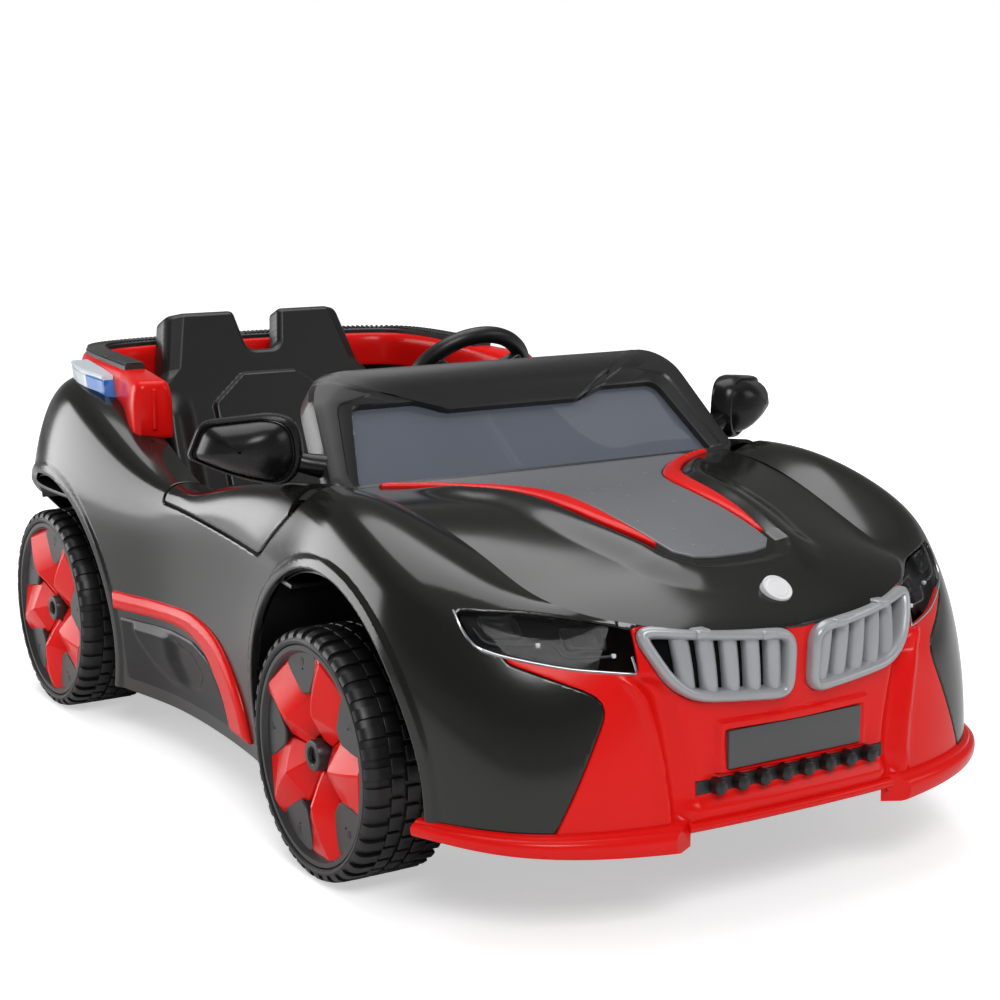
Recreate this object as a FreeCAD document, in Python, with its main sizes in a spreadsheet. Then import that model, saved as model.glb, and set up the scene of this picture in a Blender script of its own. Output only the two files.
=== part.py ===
import FreeCAD, Part
import math
import os
import re
import Sketcher

Vec = FreeCAD.Vector
doc = FreeCAD.newDocument("RideOnCar")

# Millimetres and degrees. +Z is up, the nose points to -Y, the car's left is +X,
# the ground is z = 0 and x = 0 is the plane of symmetry.
SIZES = {
    # wheels
    "wheel_radius": 125,
    "tyre_width": 95,
    "wheel_face": 350,
    "shoulder_chamfer": 7,
    "rim_radius": 110,
    "web_front": 32,
    "web_back": 38,
    "barrel_radius": 117,
    "hub_radius": 18,
    "hub_front": 22,
    "hub_clear": 5.5,
    "axle_radius": 6,
    "running_gap": 0.05,
    "seat_gap": 0.3,
    "front_axle_y": -292,
    "rear_axle_y": 425,
    # rim cover and spokes
    "cover_lip": 4,
    "cover_face": 22,
    "cover_boss": 2,
    "cover_boss_radius": 26,
    "cover_skin": 4,
    "cover_rim": 7,
    "cover_slope": 8,
    "boss_flare": 6,
    "boss_wall": 4,
    "spoke_clear": 0.5,
    "spoke_outer": 90,
    "spoke_inner": 34,
    "spoke_half_outer": 25,
    "spoke_half_inner": 15,
    "spoke_front": 4,
    "nut_radius": 10,
    "nut_length": 8,
    # skin panels
    "skin": 4,
    "sill_z": 60,
    "brow_z": 76,
    "lip_z": 92,
    "tail_z": 76,
    "belt_z": 230,
    "sill_tuck": 12,
    "belt_swell": 1,
    "crown_swell_x": 10,
    "crown_swell_z": 5,
    "nose_lean": 2.5,
    "plate_recess": 9,
    "front_arch_radius": 181,
    "rear_arch_radius": 172,
    "arch_inside": 215,
    "panel_gap": 3,
    "tail_split_y": 540,
    # front bumper outline, as seen from the front
    "bumper_low_x": 246,
    "bumper_low_z": 106,
    "bumper_notch_x": 190,
    "bumper_notch_z": 226,
    "bumper_tip_x": 262,
    "bumper_tip_z": 257,
    "lip_reach": 7,
    "lip_top": 105,
    "lip_back_y": -462,
    # headlights, as seen from the front
    "lamp_inner_low_x": 152,
    "lamp_inner_top_x": 170,
    "lamp_inner_low_z": 246,
    "lamp_mid_x": 218,
    "lamp_mid_z": 253,
    "lamp_low_x": 264,
    "lamp_low_z": 266,
    "lamp_tip_x": 287,
    "lamp_tip_z": 299,
    "lamp_top_x": 226,
    "lamp_top_z": 296,
    "lamp_inner_top_z": 285,
    "lamp_lens": 2,
    "lamp_depth": 14,
    # grilles, as seen from the front
    "grille_inner_x": 9,
    "grille_outer_x": 162,
    "grille_outer_low_x": 132,
    "grille_inner_top_z": 273,
    "grille_outer_top_z": 286,
    "grille_inner_low_z": 210,
    "grille_outer_low_z": 221,
    "grille_bar": 9,
    "grille_slat": 16,
    "grille_proud": 8,
    "slat_sink": 3,
    "slat_lift": 1,
    "slat_lean": 6,
    # front trim
    "plate_half": 79,
    "plate_low_z": 151,
    "plate_top_z": 187,
    "plate_front_y": -604,
    "plate_deep": 12,
    "stud_pitch": 26,
    "stud_size": 12,
    "stud_z": 137,
    "stud_front_y": -608,
    "stud_deep": 30,
    "badge_radius": 15,
    "badge_y": -572,
    "badge_z": 305,
    "badge_tilt": 38,
    "badge_deep": 24,
    # hood trim
    "insert_rise": 3,
    "stripe_rise": 5,
    "insert_gap": 1.5,
    # windscreen, measured up the slope of the glass
    "screen_y": -187,
    "screen_z": 362,
    "screen_angle": 45.5,
    "frame_low_half": 262,
    "frame_top_half": 236,
    "frame_length": 155,
    "frame_depth": 24,
    "glass_low_half": 228,
    "glass_top_half": 199,
    "glass_length": 105,
    "glass_foot": 6,
    "glass_thick": 2,
    "visor_half": 92,
    "visor_shoulder": 112,
    "visor_drop": 14,
    "foot_cut_x": 249,
    "foot_cut_z": 366,
    # mirrors
    "mirror_x": 322,
    "mirror_y": -108,
    "mirror_z": 401,
    "mirror_half_length": 60,
    "mirror_half_height": 31,
    "mirror_half_depth": 37,
    "mirror_sweep": 32.3,
    "mirror_back": 12,
    "stalk_radius": 9,
    "stalk_x": 246,
    "stalk_y": -152,
    "stalk_z": 381,
    "stalk_in_x": 30,
    "stalk_in_y": 20,
    "stalk_in_z": 4,
    # side trim, how far it stands off the flank
    "blade_proud": 7,
    "vent_proud": 3,
    # doors
    "door_edge_y": -208,
    "door_vertex_y": -128,
    "door_vertex_z": 289,
    "door_back_y": 143,
    "door_back_z": 301,
    "door_back_lean": 8,
    "door_top_z": 440,
    "hinge_x": 285,
    "hinge_y": -222,
    "hinge_low_z": 332,
    "hinge_pin": 4,
    "hinge_eye": 9,
    "hinge_eye_low": 338,
    "hinge_eye_tall": 12,
    "hinge_arm": 66,
    # rear surround
    "surround_half_wall": 20,
    "surround_top_z": 434,
    "surround_drop": 46,
    "surround_slope": 20,
    "surround_skin": 4,
    "surround_room": 10,
    "trim_half": 13,
    "trim_rise": 8,
    "trim_front_y": 352,
    "tail_lamp_front_y": 385,
    "tail_lamp_back_y": 472,
    "tail_lamp_low_z": 400,
    "tail_lamp_top_z": 430,
    "tail_lamp_outer_x": 290,
    # chassis tub
    "floor_z": 60,
    "floor": 4,
    "wall": 4,
    "tub_front_y": -480,
    "tub_front_half": 190,
    "tub_step_y": -115,
    "tub_mid_half": 236,
    "tub_rear_step_y": 246,
    "tub_rear_half": 176,
    "tub_rear_y": 575,
    "flange_z": 280,
    "flange_front_y": -226,
    "flange_tail": 190,
    "shelf_z": 180,
    "shelf_front_y": 200,
    "shelf_back_y": 500,
    # seat
    "seat_half": 165,
    "seat_front_y": 190,
    "seat_front_z": 214,
    "seat_fold_y": 420,
    "seat_fold_z": 206,
    "seat_rake": 22.5,
    "seat_back_z": 428,
    "seat_rear_y": 545,
    "seat_rear_edge": 6,
    "seat_foot_y": 452,
    "seat_foot_wall": 15,
    "seat_skin": 6,
    "seat_hollow_z": 376,
    # seat back and headrests, heights measured up the raked back
    "back_shoulder": 120,
    "back_narrow_x": 158,
    "back_narrow": 190,
    "rest_outer_low_x": 146,
    "rest_outer_low": 222,
    "rest_outer_x": 129,
    "rest_inner_x": 33,
    "rest_top": 296,
    "rest_inner_low_x": 22,
    "rest_inner_low": 236,
    "rest_thick": 26,
    "ridge_half": 90,
    "ridge_shoulder": 166,
    "ridge_top_half": 41,
    "ridge_top": 206,
    "ridge_proud": 7,
    "bolster_x": 118,
    "bolster_crest_x": 150,
    "bolster_proud": 14,
    "bolster_low": 24,
    "bolster_top": 176,
    "thigh_x": 126,
    "thigh_rise": 8,
    # dashboard
    "dash_front_y": -185,
    "dash_back_y": -50,
    "dash_top_z": 342,
    "dash_low_z": 226,
    "dash_knee_y": -80,
    "dash_gap": 0.2,
    "dash_skin": 5,
    "dash_wall": 22,
    "dash_edge": 10,
    "dash_lean": 20,
    "dash_rise": 40,
    # steering
    "wheel_x": 78,
    "column_tilt": 55,
    "ring_radius": 78,
    "ring_tube": 10,
    "boss_radius": 30,
    "boss_length": 26,
    "spoke_tall": 12,
    "spoke_wide": 22,
    "button_radius": 16,
    "button_proud": 4,
    "button_travel": 2,
    "button_deep": 5.5,
    "well_deep": 8,
    "shaft_seat": 10,
    "shaft_sink": 17,
    "shaft_radius": 7,
    "shaft_length": 435,
    "crank_back": 13.025,
    "crank_rise": 32.494,
    "crank_throw": 19.4,
    "crank_thick": 10,
    "crank_half": 6,
    "crank_pin_radius": 4,
    "crank_pin_length": 32,
    "knuckle_arm": 40,
    "kingpin_x": 238,
    "kingpin_radius": 6,
    "eye_radius": 14,
    "eye_half": 12,
    "lug": 8,
    "lug_gap": 0.5,
    "tie_z": 133,
    "tie_radius": 5,
    "tie_eye": 9,
    "tie_eye_half": 4,
    "tie_pin": 4,
    "tie_free": 0.5,
    "arm_pin_reach": 3,
    "fork_half": 15,
    "fork_slot_half": 4.9,
    "fork_low_z": 112,
    "fork_floor_z": 120,
    "fork_top_z": 140,
    "fork_half_depth": 10,
    "beam": 16,
    "beam_foot_x": 150,
    "beam_foot": 30,
    "window_front_y": -322,
    "window_back_y": -225,
    "window_low_z": 96,
    "window_top_z": 162,
    # drive
    "gearbox_wide": 73.7,
    "gearbox_front_y": 385,
    "gearbox_back_y": 485,
    "gearbox_low_z": 90,
    "gearbox_top_z": 172,
    "motor_radius": 18,
    "motor_length": 66,
    "motor_y": 452,
    "motor_z": 148,
    "battery_wide": 150,
    "battery_deep": 65,
    "battery_tall": 95,
    "battery_y": 300,
    # pedal
    "pedal_x": 25,
    "pedal_y": -150,
    "pedal_z": 84,
    "pedal_half": 28,
    "pedal_length": 80,
    "pedal_thick": 6,
    "pedal_angle": 40,
    "pedal_barrel": 8,
    "pedal_pin": 4,
    "pedal_ear": 6,
    # direction rocker
    "rocker_x": -20,
    "rocker_z": 300,
    "rocker_half": 11,
    "rocker_half_tall": 15,
    "rocker_deep": 16,
    "rocker_proud": 5,
    "rocker_pin": 2,
    "rocker_pin_reach": 4,
    "rocker_room": 1,
    "rocker_swing": 4,
    "rocker_axle_in": 6,
}

# Stations along the flank: where along the car, half width, crown of the fender and
# inner rim, with the share of the width by which the shoulder is drawn in.
FLANK = [
    ("corner", -466, 337, 268, 320, 214, 308, 0.35),
    ("brow", -400, 346, 298, 352, 216, 331, 0.20),
    ("front_wheel", -292, 351, 276, 391, 229, 360, 0.15),
    ("cowl", -190, 337, 279, 384, 241, 362, 0.26),
    ("door_front", -95, 319, 288, 363, 262, 356, 0.20),
    ("door_mid", 10, 312, 290, 346, 262, 340, 0.12),
    ("door_low", 85, 311, 292, 322, 264, 314, 0.12),
    ("door_rear", 150, 314, 293, 324, 260, 318, 0.12),
    ("quarter", 225, 329, 296, 347, 252, 339, 0.12),
    ("haunch", 320, 347, 298, 394, 250, 374, 0.14),
    ("rear_wheel", 425, 355, 294, 424, 246, 402, 0.16),
    ("tail", 510, 344, 283, 422, 238, 406, 0.12),
]
# Columns round the two ends: foot of the column, then its top.
NOSE = [
    ("nose_centre", 0, -606, 0, -607, 277),
    ("nose_inner", 90, -606, 85, -603, 279),
    ("nose_outer", 195, -597, 164, -566, 288),
    ("nose_corner", 288, -549, 204, -522, 299),
]
TAIL = [
    ("tail_corner", 318, 562, 228, 550, 410),
    ("tail_outer", 200, 607, 150, 586, 414),
    ("tail_inner", 95, 613, 75, 592, 414),
    ("tail_centre", 0, 613, 0, 592, 414),
]
# Height and place of the hood's middle line, one for each of its eight columns.
HOOD_LINE = [
    ("hood_lip", -604, 280),
    ("hood_nose", -588, 293),
    ("hood_badge", -556, 306),
    ("hood_tip", -512, 322),
    ("hood_fore", -464, 336),
    ("hood_mid", -398, 350),
    ("hood_rear", -298, 362),
    ("hood_cowl", -190, 360),
]
FLANK_WORDS = ("y", "half", "crown_x", "crown_z", "rim_x", "rim_z", "draw")
END_WORDS = ("low_x", "low_y", "top_x", "top_y", "top_z")
ROW_SHARES = (0.0, 0.24, 0.5, 0.74, 0.92, 1.0)

for row in FLANK:
    for word, value in zip(FLANK_WORDS, row[1:]):
        SIZES[row[0] + "_" + word] = value
for row in NOSE + TAIL:
    for word, value in zip(END_WORDS, row[1:]):
        SIZES[row[0] + "_" + word] = value
for row in HOOD_LINE:
    SIZES[row[0] + "_y"] = row[1]
    SIZES[row[0] + "_z"] = row[2]

# Sizes that follow from others: the seat back leans at its rake, the steering wheel stands
# at the upper end of its shaft, and each hub ends a clearance away from what it faces.
FOLLOWING = {
    "seat_back_y": "seat_fold_y + (seat_back_z - seat_fold_z)*tan(seat_rake)",
    "wheel_y": "front_axle_y + knuckle_arm + (shaft_length + crank_back)*sin(column_tilt)",
    "wheel_z": "tie_z + crank_rise + shaft_length*cos(column_tilt)",
    "gearbox_outer_x": "tub_rear_half + seat_gap + gearbox_wide",
    "front_hub_back": "wheel_face - kingpin_x - eye_radius - lug_gap - lug - hub_clear",
    "rear_hub_back": "wheel_face - tub_rear_half - seat_gap - gearbox_wide - hub_clear",
}

sheet = doc.addObject("Spreadsheet::Sheet", "Sizes")
rows = [(word, str(value)) for word, value in SIZES.items()]
rows += [(word, "=" + text) for word, text in FOLLOWING.items()]
for number, (word, text) in enumerate(rows, start=1):
    sheet.set("A%d" % number, word)
    sheet.set("B%d" % number, text)
    sheet.setAlias("B%d" % number, word)
doc.recompute()
WORDS = {word for word, text in rows}


def size(word):
    return float(sheet.get(word))


def cells(text):
    """The same expression with every size read from its cell."""
    return re.sub(r"[a-z_]+", lambda m: ("Sizes." if m.group(0) in WORDS else "") + m.group(0), text)


def place(item, base, turn=None):
    if turn is not None:
        item.Placement.Rotation = turn
    for axis, text in zip("xyz", base):
        item.setExpression("Placement.Base." + axis, cells(text))
    return item


ALONG_X = FreeCAD.Rotation(Vec(0, 1, 0), 90)


def rod(label, base, radius, length, turn=None):
    item = doc.addObject("Part::Cylinder", label)
    item.setExpression("Radius", cells(radius))
    item.setExpression("Height", cells(length))
    return place(item, base, turn)


def block(label, base, lengths, turn=None):
    item = doc.addObject("Part::Box", label)
    for word, text in zip(("Length", "Width", "Height"), lengths):
        item.setExpression(word, cells(text))
    return place(item, base, turn)


def joined(label, items):
    item = doc.addObject("Part::MultiFuse", label)
    item.Shapes = items
    item.Refine = True
    return item


def cut_from(label, base, tools):
    tool = tools[0] if len(tools) == 1 else joined(label + "_tools", tools)
    item = doc.addObject("Part::Cut", label)
    item.Base = base
    item.Tool = tool
    item.Refine = True
    return item


FIRST_SPREAD = 100


def outlined(body, label, plane, corners):
    """A closed sketch on one of the body's own planes; each corner is set by two expressions."""
    sketch = body.newObject("Sketcher::SketchObject", label + "_outline")
    planes = {"XY": 3, "XZ": 4, "YZ": 5}
    sketch.AttachmentSupport = (body.Origin.OriginFeatures[planes[plane]], [""])
    sketch.MapMode = "FlatFace"
    count = len(corners)
    start = []
    for number in range(count):
        angle = 2 * math.pi * number / count
        start.append(Vec(FIRST_SPREAD * (2 + math.cos(angle)), FIRST_SPREAD * (2 + math.sin(angle)), 0))
    for number in range(count):
        sketch.addGeometry(Part.LineSegment(start[number], start[(number + 1) % count]))
    for number in range(count):
        sketch.addConstraint(Sketcher.Constraint("Coincident", number, 2, (number + 1) % count, 1))
    for number, corner in enumerate(corners):
        first = {"DistanceX": start[number].x, "DistanceY": start[number].y}
        for kind, text in zip(("DistanceX", "DistanceY"), corner):
            index = sketch.addConstraint(Sketcher.Constraint(kind, -1, 1, number, 1, first[kind]))
            sketch.setExpression("Constraints[%d]" % index, cells(text))
    return sketch


def padded(label, plane, corners, length, base, turn=None):
    body = doc.addObject("PartDesign::Body", label)
    sketch = outlined(body, label, plane, corners)
    pad = body.newObject("PartDesign::Pad", label + "_pad")
    pad.Profile = sketch
    pad.setExpression("Length", cells(length))
    body.Tip = pad
    return place(body, base, turn)


def turned(label, corners, base):
    """A body of revolution about the X axis; corners are (along the axis, radius)."""
    body = doc.addObject("PartDesign::Body", label)
    sketch = outlined(body, label, "XY", corners)
    spin = body.newObject("PartDesign::Revolution", label + "_turn")
    spin.Profile = sketch
    spin.ReferenceAxis = (sketch, ["H_Axis"])
    spin.Angle = 360
    body.Tip = spin
    return place(body, base)


def formed(label, shape):
    item = doc.addObject("Part::Feature", label)
    item.Shape = shape
    return item


def largest(shape):
    return max(shape.Solids, key=lambda solid: solid.Volume)


def mirrored(shape):
    return shape.mirror(Vec(0, 0, 0), Vec(1, 0, 0))


def both_halves(shape):
    whole = shape.fuse(mirrored(shape))
    return whole.removeSplitter()


def clamped(poles):
    across = len(poles)
    up = len(poles[0])
    surface = Part.BSplineSurface()
    surface.buildFromPolesMultsKnots(
        poles,
        [4] + [1] * (across - 4) + [4],
        [4] + [1] * (up - 4) + [4],
        list(range(across - 2)),
        list(range(up - 2)),
        False, False, 3, 3)
    return surface


def moved_off(poles, distance):
    """The cage moved along its own normals; the two end columns stay in the plane of symmetry."""
    last = len(poles) - 1
    top = len(poles[0]) - 1
    result = []
    for i, column in enumerate(poles):
        moved = []
        for j, pole in enumerate(column):
            along = poles[min(i + 1, last)][j] - poles[max(i - 1, 0)][j]
            up = poles[i][min(j + 1, top)] - poles[i][max(j - 1, 0)]
            normal = along.cross(up)
            if abs(pole.x) < 1e-6:
                normal.x = 0
            if normal.Length < 1e-6:
                normal = Vec(0, -along.z, along.y)
            normal.normalize()
            moved.append(pole + normal * distance)
        result.append(moved)
    return result


def shell_between(outer, inner):
    """The solid between two cages of the same layout."""
    one = clamped(outer)
    two = clamped(inner)
    faces = [one.toShape(), two.toShape()]
    u0, u1, v0, v1 = one.bounds()
    for u in (u0, u1):
        faces.append(Part.makeRuledSurface(one.uIso(u).toShape(), two.uIso(u).toShape()))
    for v in (v0, v1):
        faces.append(Part.makeRuledSurface(one.vIso(v).toShape(), two.vIso(v).toShape()))
    shell = Part.makeShell(faces)
    shell.sewShape()
    solid = Part.makeSolid(shell)
    if solid.Volume < 0:
        solid.reverse()
    return solid


def prism(points, direction):
    wire = Part.makePolygon(points + points[:1])
    return Part.Face(wire).extrude(direction)


def front_prism(points, near_y, far_y):
    return prism([Vec(x, near_y, z) for x, z in points], Vec(0, far_y - near_y, 0))


def side_prism(points, near_x, far_x):
    return prism([Vec(near_x, y, z) for y, z in points], Vec(far_x - near_x, 0, 0))


def plan_prism(points, low_z, top_z):
    return prism([Vec(x, y, low_z) for x, y in points], Vec(0, 0, top_z - low_z))


def shrunk(points, by):
    """A closed outline of (a, b) pairs drawn in by the same distance all round."""
    wire = Part.makePolygon([Vec(a, b, 0) for a, b in points + points[:1]])
    smaller = Part.Face(wire).makeOffset2D(-by, 2)
    return [(v.X, v.Y) for v in smaller.OuterWire.OrderedVertexes]


# The cage of the body skin, from the middle of the nose round to the middle of the tail.
def end_column(name, foot_z, recess):
    low_x, low_y, top_x, top_y, top_z = [size(name + "_" + word) for word in END_WORDS]
    column = []
    for share in ROW_SHARES:
        lean = share ** size("nose_lean")
        hollow = recess * math.sin(math.pi * min(1.0, share / ROW_SHARES[3]))
        column.append(Vec(
            low_x + (top_x - low_x) * lean,
            low_y + (top_y - low_y) * lean + hollow,
            foot_z + (top_z - foot_z) * share))
    return column


# Shares of the tuck at mid height and of the rise at which the shoulder is drawn in.
MID_TUCK = 0.2
SHOULDER_SHARE = 0.62


def flank_column(name, foot_z):
    y, half, crown_x, crown_z, rim_x, rim_z, draw = [size(name + "_" + word) for word in FLANK_WORDS]
    belt = size("belt_z")
    tuck = size("sill_tuck")
    return [
        Vec(half - tuck, y, foot_z),
        Vec(half - tuck * MID_TUCK, y, (foot_z + belt) / 2),
        Vec(half + size("belt_swell"), y, belt),
        Vec(half - (half - crown_x) * draw, y, belt + (crown_z - belt) * SHOULDER_SHARE),
        Vec(crown_x + size("crown_swell_x"), y, crown_z + size("crown_swell_z")),
        Vec(rim_x, y, rim_z),
    ]


skin_cage = []
for row in NOSE:
    recess = size("plate_recess") if row[0] in ("nose_centre", "nose_inner") else 0
    skin_cage.append(end_column(row[0], size("lip_z"), recess))
for row in FLANK:
    foot = {"corner": "lip_z", "brow": "brow_z", "tail": "tail_z"}.get(row[0], "sill_z")
    skin_cage.append(flank_column(row[0], size(foot)))
for row in TAIL:
    skin_cage.append(end_column(row[0], size("tail_z"), 0))


def skin_layer(outside, inside):
    """One half of a layer of the skin; distances are measured outwards from its face."""
    return shell_between(moved_off(skin_cage, outside), moved_off(skin_cage, inside))


# Reach of the tools that cut or trim: well past the panel they work on.
FAR = 500
BEYOND = 80
gap = size("seat_gap")
skin_half = skin_layer(0, -size("skin"))
beyond_skin = skin_layer(BEYOND, -size("skin") - gap)
over_skin = skin_layer(gap, -size("skin") - gap)

# Zones of the nose, seen from the front.
NOSE_FOOT = 20
NOSE_TOP = 340
PAST_MIDDLE = -1
bumper_outline = [
    (PAST_MIDDLE, NOSE_FOOT),
    (size("bumper_low_x"), NOSE_FOOT),
    (size("bumper_low_x"), size("bumper_low_z")),
    (size("bumper_notch_x"), size("bumper_notch_z")),
    (size("bumper_tip_x"), size("bumper_tip_z")),
    (size("lamp_low_x"), size("lamp_low_z")),
    (size("lamp_mid_x"), size("lamp_mid_z")),
    (size("lamp_inner_low_x"), size("lamp_inner_low_z")),
    (size("lamp_inner_top_x"), size("lamp_inner_top_z")),
    (size("lamp_inner_top_x"), NOSE_TOP),
    (PAST_MIDDLE, NOSE_TOP),
]
lamp_outline = [
    (size("lamp_inner_low_x"), size("lamp_inner_low_z")),
    (size("lamp_mid_x"), size("lamp_mid_z")),
    (size("lamp_low_x"), size("lamp_low_z")),
    (size("lamp_tip_x"), size("lamp_tip_z")),
    (size("lamp_top_x"), size("lamp_top_z")),
    (size("lamp_inner_top_x"), size("lamp_inner_top_z")),
]
grille_outline = [
    (size("grille_inner_x"), size("grille_inner_low_z")),
    (size("grille_outer_low_x"), size("grille_outer_low_z")),
    (size("grille_outer_x"), size("grille_outer_top_z")),
    (size("grille_inner_x"), size("grille_inner_top_z")),
]
NOSE_FAR = -700
NOSE_NEAR = -420
bumper_zone = front_prism(bumper_outline, NOSE_FAR, NOSE_NEAR)
lamp_zone = front_prism(lamp_outline, NOSE_FAR, NOSE_NEAR)
lamp_room = front_prism(shrunk(lamp_outline, gap), NOSE_FAR, NOSE_NEAR)
grille_zone = front_prism(grille_outline, NOSE_FAR, NOSE_NEAR)
lip_zone = Part.makeBox(
    FAR, FAR, size("lip_top") - NOSE_FOOT, Vec(PAST_MIDDLE, size("lip_back_y") - FAR, NOSE_FOOT))
under_lip = Part.makeBox(
    FAR, FAR, size("lip_top") + gap - NOSE_FOOT, Vec(PAST_MIDDLE, size("lip_back_y") + gap - FAR, NOSE_FOOT))

# Front bumper: the lower nose and the lip that runs out under both corners.
lip_half = skin_layer(size("lip_reach"), -size("skin")).common(lip_zone)
bumper_half = skin_half.common(bumper_zone).cut(grille_zone).cut(lamp_zone).fuse(lip_half)
bumper = both_halves(bumper_half.removeSplitter())
formed("front_bumper", bumper)

# Headlights: a housing that follows the skin and a clear lens over it.
lens_half = skin_layer(0, -size("lamp_lens")).common(lamp_room)
housing_half = skin_layer(-size("lamp_lens") - gap, -size("lamp_depth")).common(lamp_room)

# Grilles: a frame and upright slats standing proud of the nose.
SLATS = 5
grille_room = shrunk(grille_outline, gap)
grille_hole = front_prism(shrunk(grille_outline, gap + size("grille_bar")), NOSE_FAR, NOSE_NEAR)
grille_layer = skin_layer(size("grille_proud"), -size("skin"))
grille_half = grille_layer.common(front_prism(grille_room, NOSE_FAR, NOSE_NEAR)).cut(grille_hole)
slat_span = size("grille_outer_low_x") - size("grille_inner_x") - size("grille_bar")
slat_low = size("grille_inner_low_z") - size("grille_bar")
slat_top = size("grille_outer_top_z") + size("grille_bar")
slat_layer = skin_layer(size("grille_proud") - size("slat_sink"), size("slat_lift") - size("skin"))
for number in range(SLATS):
    middle = size("grille_inner_x") + size("grille_bar") + slat_span * (number + 0.5) / SLATS
    left = middle - size("grille_slat") / 2
    right = left + size("grille_slat")
    slat_points = [
        (left, slat_low), (right, slat_low),
        (right + size("slat_lean"), slat_top), (left + size("slat_lean"), slat_top)]
    slat = slat_layer.common(front_prism(slat_points, NOSE_FAR, NOSE_NEAR))
    grille_half = grille_half.fuse(slat.common(front_prism(grille_room, NOSE_FAR, NOSE_NEAR)))
grille_half = largest(grille_half.removeSplitter())

# Doors: the upper flank cut out along a shallow V, carried by a hinge arm.
door_outline = [
    (size("door_edge_y"), size("door_top_z")),
    (size("door_edge_y"), size("screen_z")),
    (size("door_vertex_y"), size("door_vertex_z")),
    (size("door_back_y"), size("door_back_z")),
    (size("door_back_y") + size("door_back_lean"), size("door_top_z")),
]
SIDE_NEAR = 200
SIDE_FAR = 420
door_zone = side_prism(door_outline, SIDE_NEAR, SIDE_FAR)
door_room = side_prism(shrunk(door_outline, size("panel_gap")), SIDE_NEAR, SIDE_FAR)
inside_only = skin_layer(BEYOND, -size("skin") / 4)
eye = Part.makeCylinder(
    size("hinge_eye"), size("hinge_eye_tall"), Vec(size("hinge_x"), size("hinge_y"), size("hinge_eye_low")))
arm_long = Part.makeBox(
    size("hinge_pin") * 2, size("hinge_arm"), size("hinge_eye_tall"),
    Vec(size("hinge_x") - size("hinge_pin") * 1.75, size("hinge_y"), size("hinge_eye_low")))
arm_across = Part.makeBox(
    BEYOND, size("hinge_pin") * 3, size("hinge_eye_tall"),
    Vec(size("hinge_x"), size("hinge_y") + size("hinge_arm") - size("hinge_pin") * 3,
        size("hinge_eye_low")))
arm = largest(eye.fuse([arm_long, arm_across]).cut(inside_only))
eye_bore = Part.makeCylinder(
    size("hinge_pin") + size("running_gap"), BEYOND,
    Vec(size("hinge_x"), size("hinge_y"), size("hinge_low_z")))
door_half = largest(skin_half.common(door_room).fuse(arm).cut(eye_bore).removeSplitter())
hinge_pin = largest(Part.makeCylinder(
    size("hinge_pin"), BEYOND,
    Vec(size("hinge_x"), size("hinge_y"), size("hinge_low_z"))).cut(inside_only))


def arch(end):
    return Part.makeCylinder(
        size(end + "_arch_radius"), FAR,
        Vec(size("arch_inside"), size(end + "_axle_y"), size("wheel_radius")), Vec(1, 0, 0))


tail_zone = Part.makeBox(FAR, FAR, FAR, Vec(PAST_MIDDLE, size("tail_split_y"), 0))
side_half = skin_half.cut(bumper_zone).cut(lamp_zone).cut(under_lip).cut(door_zone)
side_half = side_half.cut(arch("front")).cut(arch("rear")).cut(tail_zone)
side_half = largest(side_half.fuse(hinge_pin).removeSplitter())
rear_bumper = both_halves(skin_half.common(tail_zone).cut(arch("rear")))
formed("rear_bumper", rear_bumper)

# Side blade and vent, laid on the lower flank; outlines seen from the side.
BLADE = [(246, 182), (120, 187), (60, 188), (0, 176), (-40, 150), (-68, 115), (-84, 74),
         (-58, 74), (-44, 108), (-20, 136), (15, 156), (62, 166), (120, 166), (246, 160)]
VENT = [(236, 152), (120, 157), (64, 156), (22, 147), (-12, 128), (-34, 102), (-46, 76), (236, 76)]
blade_half = skin_layer(size("blade_proud"), gap).common(side_prism(BLADE, SIDE_NEAR, SIDE_FAR))
vent_half = skin_layer(size("vent_proud"), gap).common(side_prism(VENT, SIDE_NEAR, SIDE_FAR))

for side in ("left", "right"):
    turn_over = mirrored if side == "right" else lambda shape: shape
    formed("body_side_" + side, turn_over(side_half))
    formed("door_" + side, turn_over(door_half))
    formed("headlight_" + side, turn_over(largest(housing_half)))
    formed("headlight_lens_" + side, turn_over(largest(lens_half)))
    formed("grille_" + side, turn_over(grille_half))
    formed("side_blade_" + side, turn_over(largest(blade_half)))
formed("side_vents", Part.makeCompound([largest(vent_half), mirrored(largest(vent_half))]))

# Hood: from the rim of the fenders up to its middle line.
# Shares of the way from the rim to the middle line: across, along and up.
OUTER_SHARE = (0.3, 0.45, 0.75)
INNER_SHARE = (0.64, 1.0, 1.0)
LIP_SHARE = (0.64, 0.67, 0.75)
hood_cage = []
for number, row in enumerate(HOOD_LINE):
    edge = skin_cage[number][-1]
    way = Vec(0, size(row[0] + "_y"), size(row[0] + "_z")) - edge
    column = [edge]
    for share in (OUTER_SHARE, LIP_SHARE if number == 0 else INNER_SHARE):
        column.append(edge + Vec(way.x * share[0], way.y * share[1], way.z * share[2]))
    hood_cage.append(column + [edge + way])


def hood_layer(outside, inside):
    return shell_between(moved_off(hood_cage, outside), moved_off(hood_cage, inside))


hood_half = largest(hood_layer(0, -size("skin")).cut(skin_half))
hood = both_halves(hood_half)
formed("hood", hood)

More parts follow.
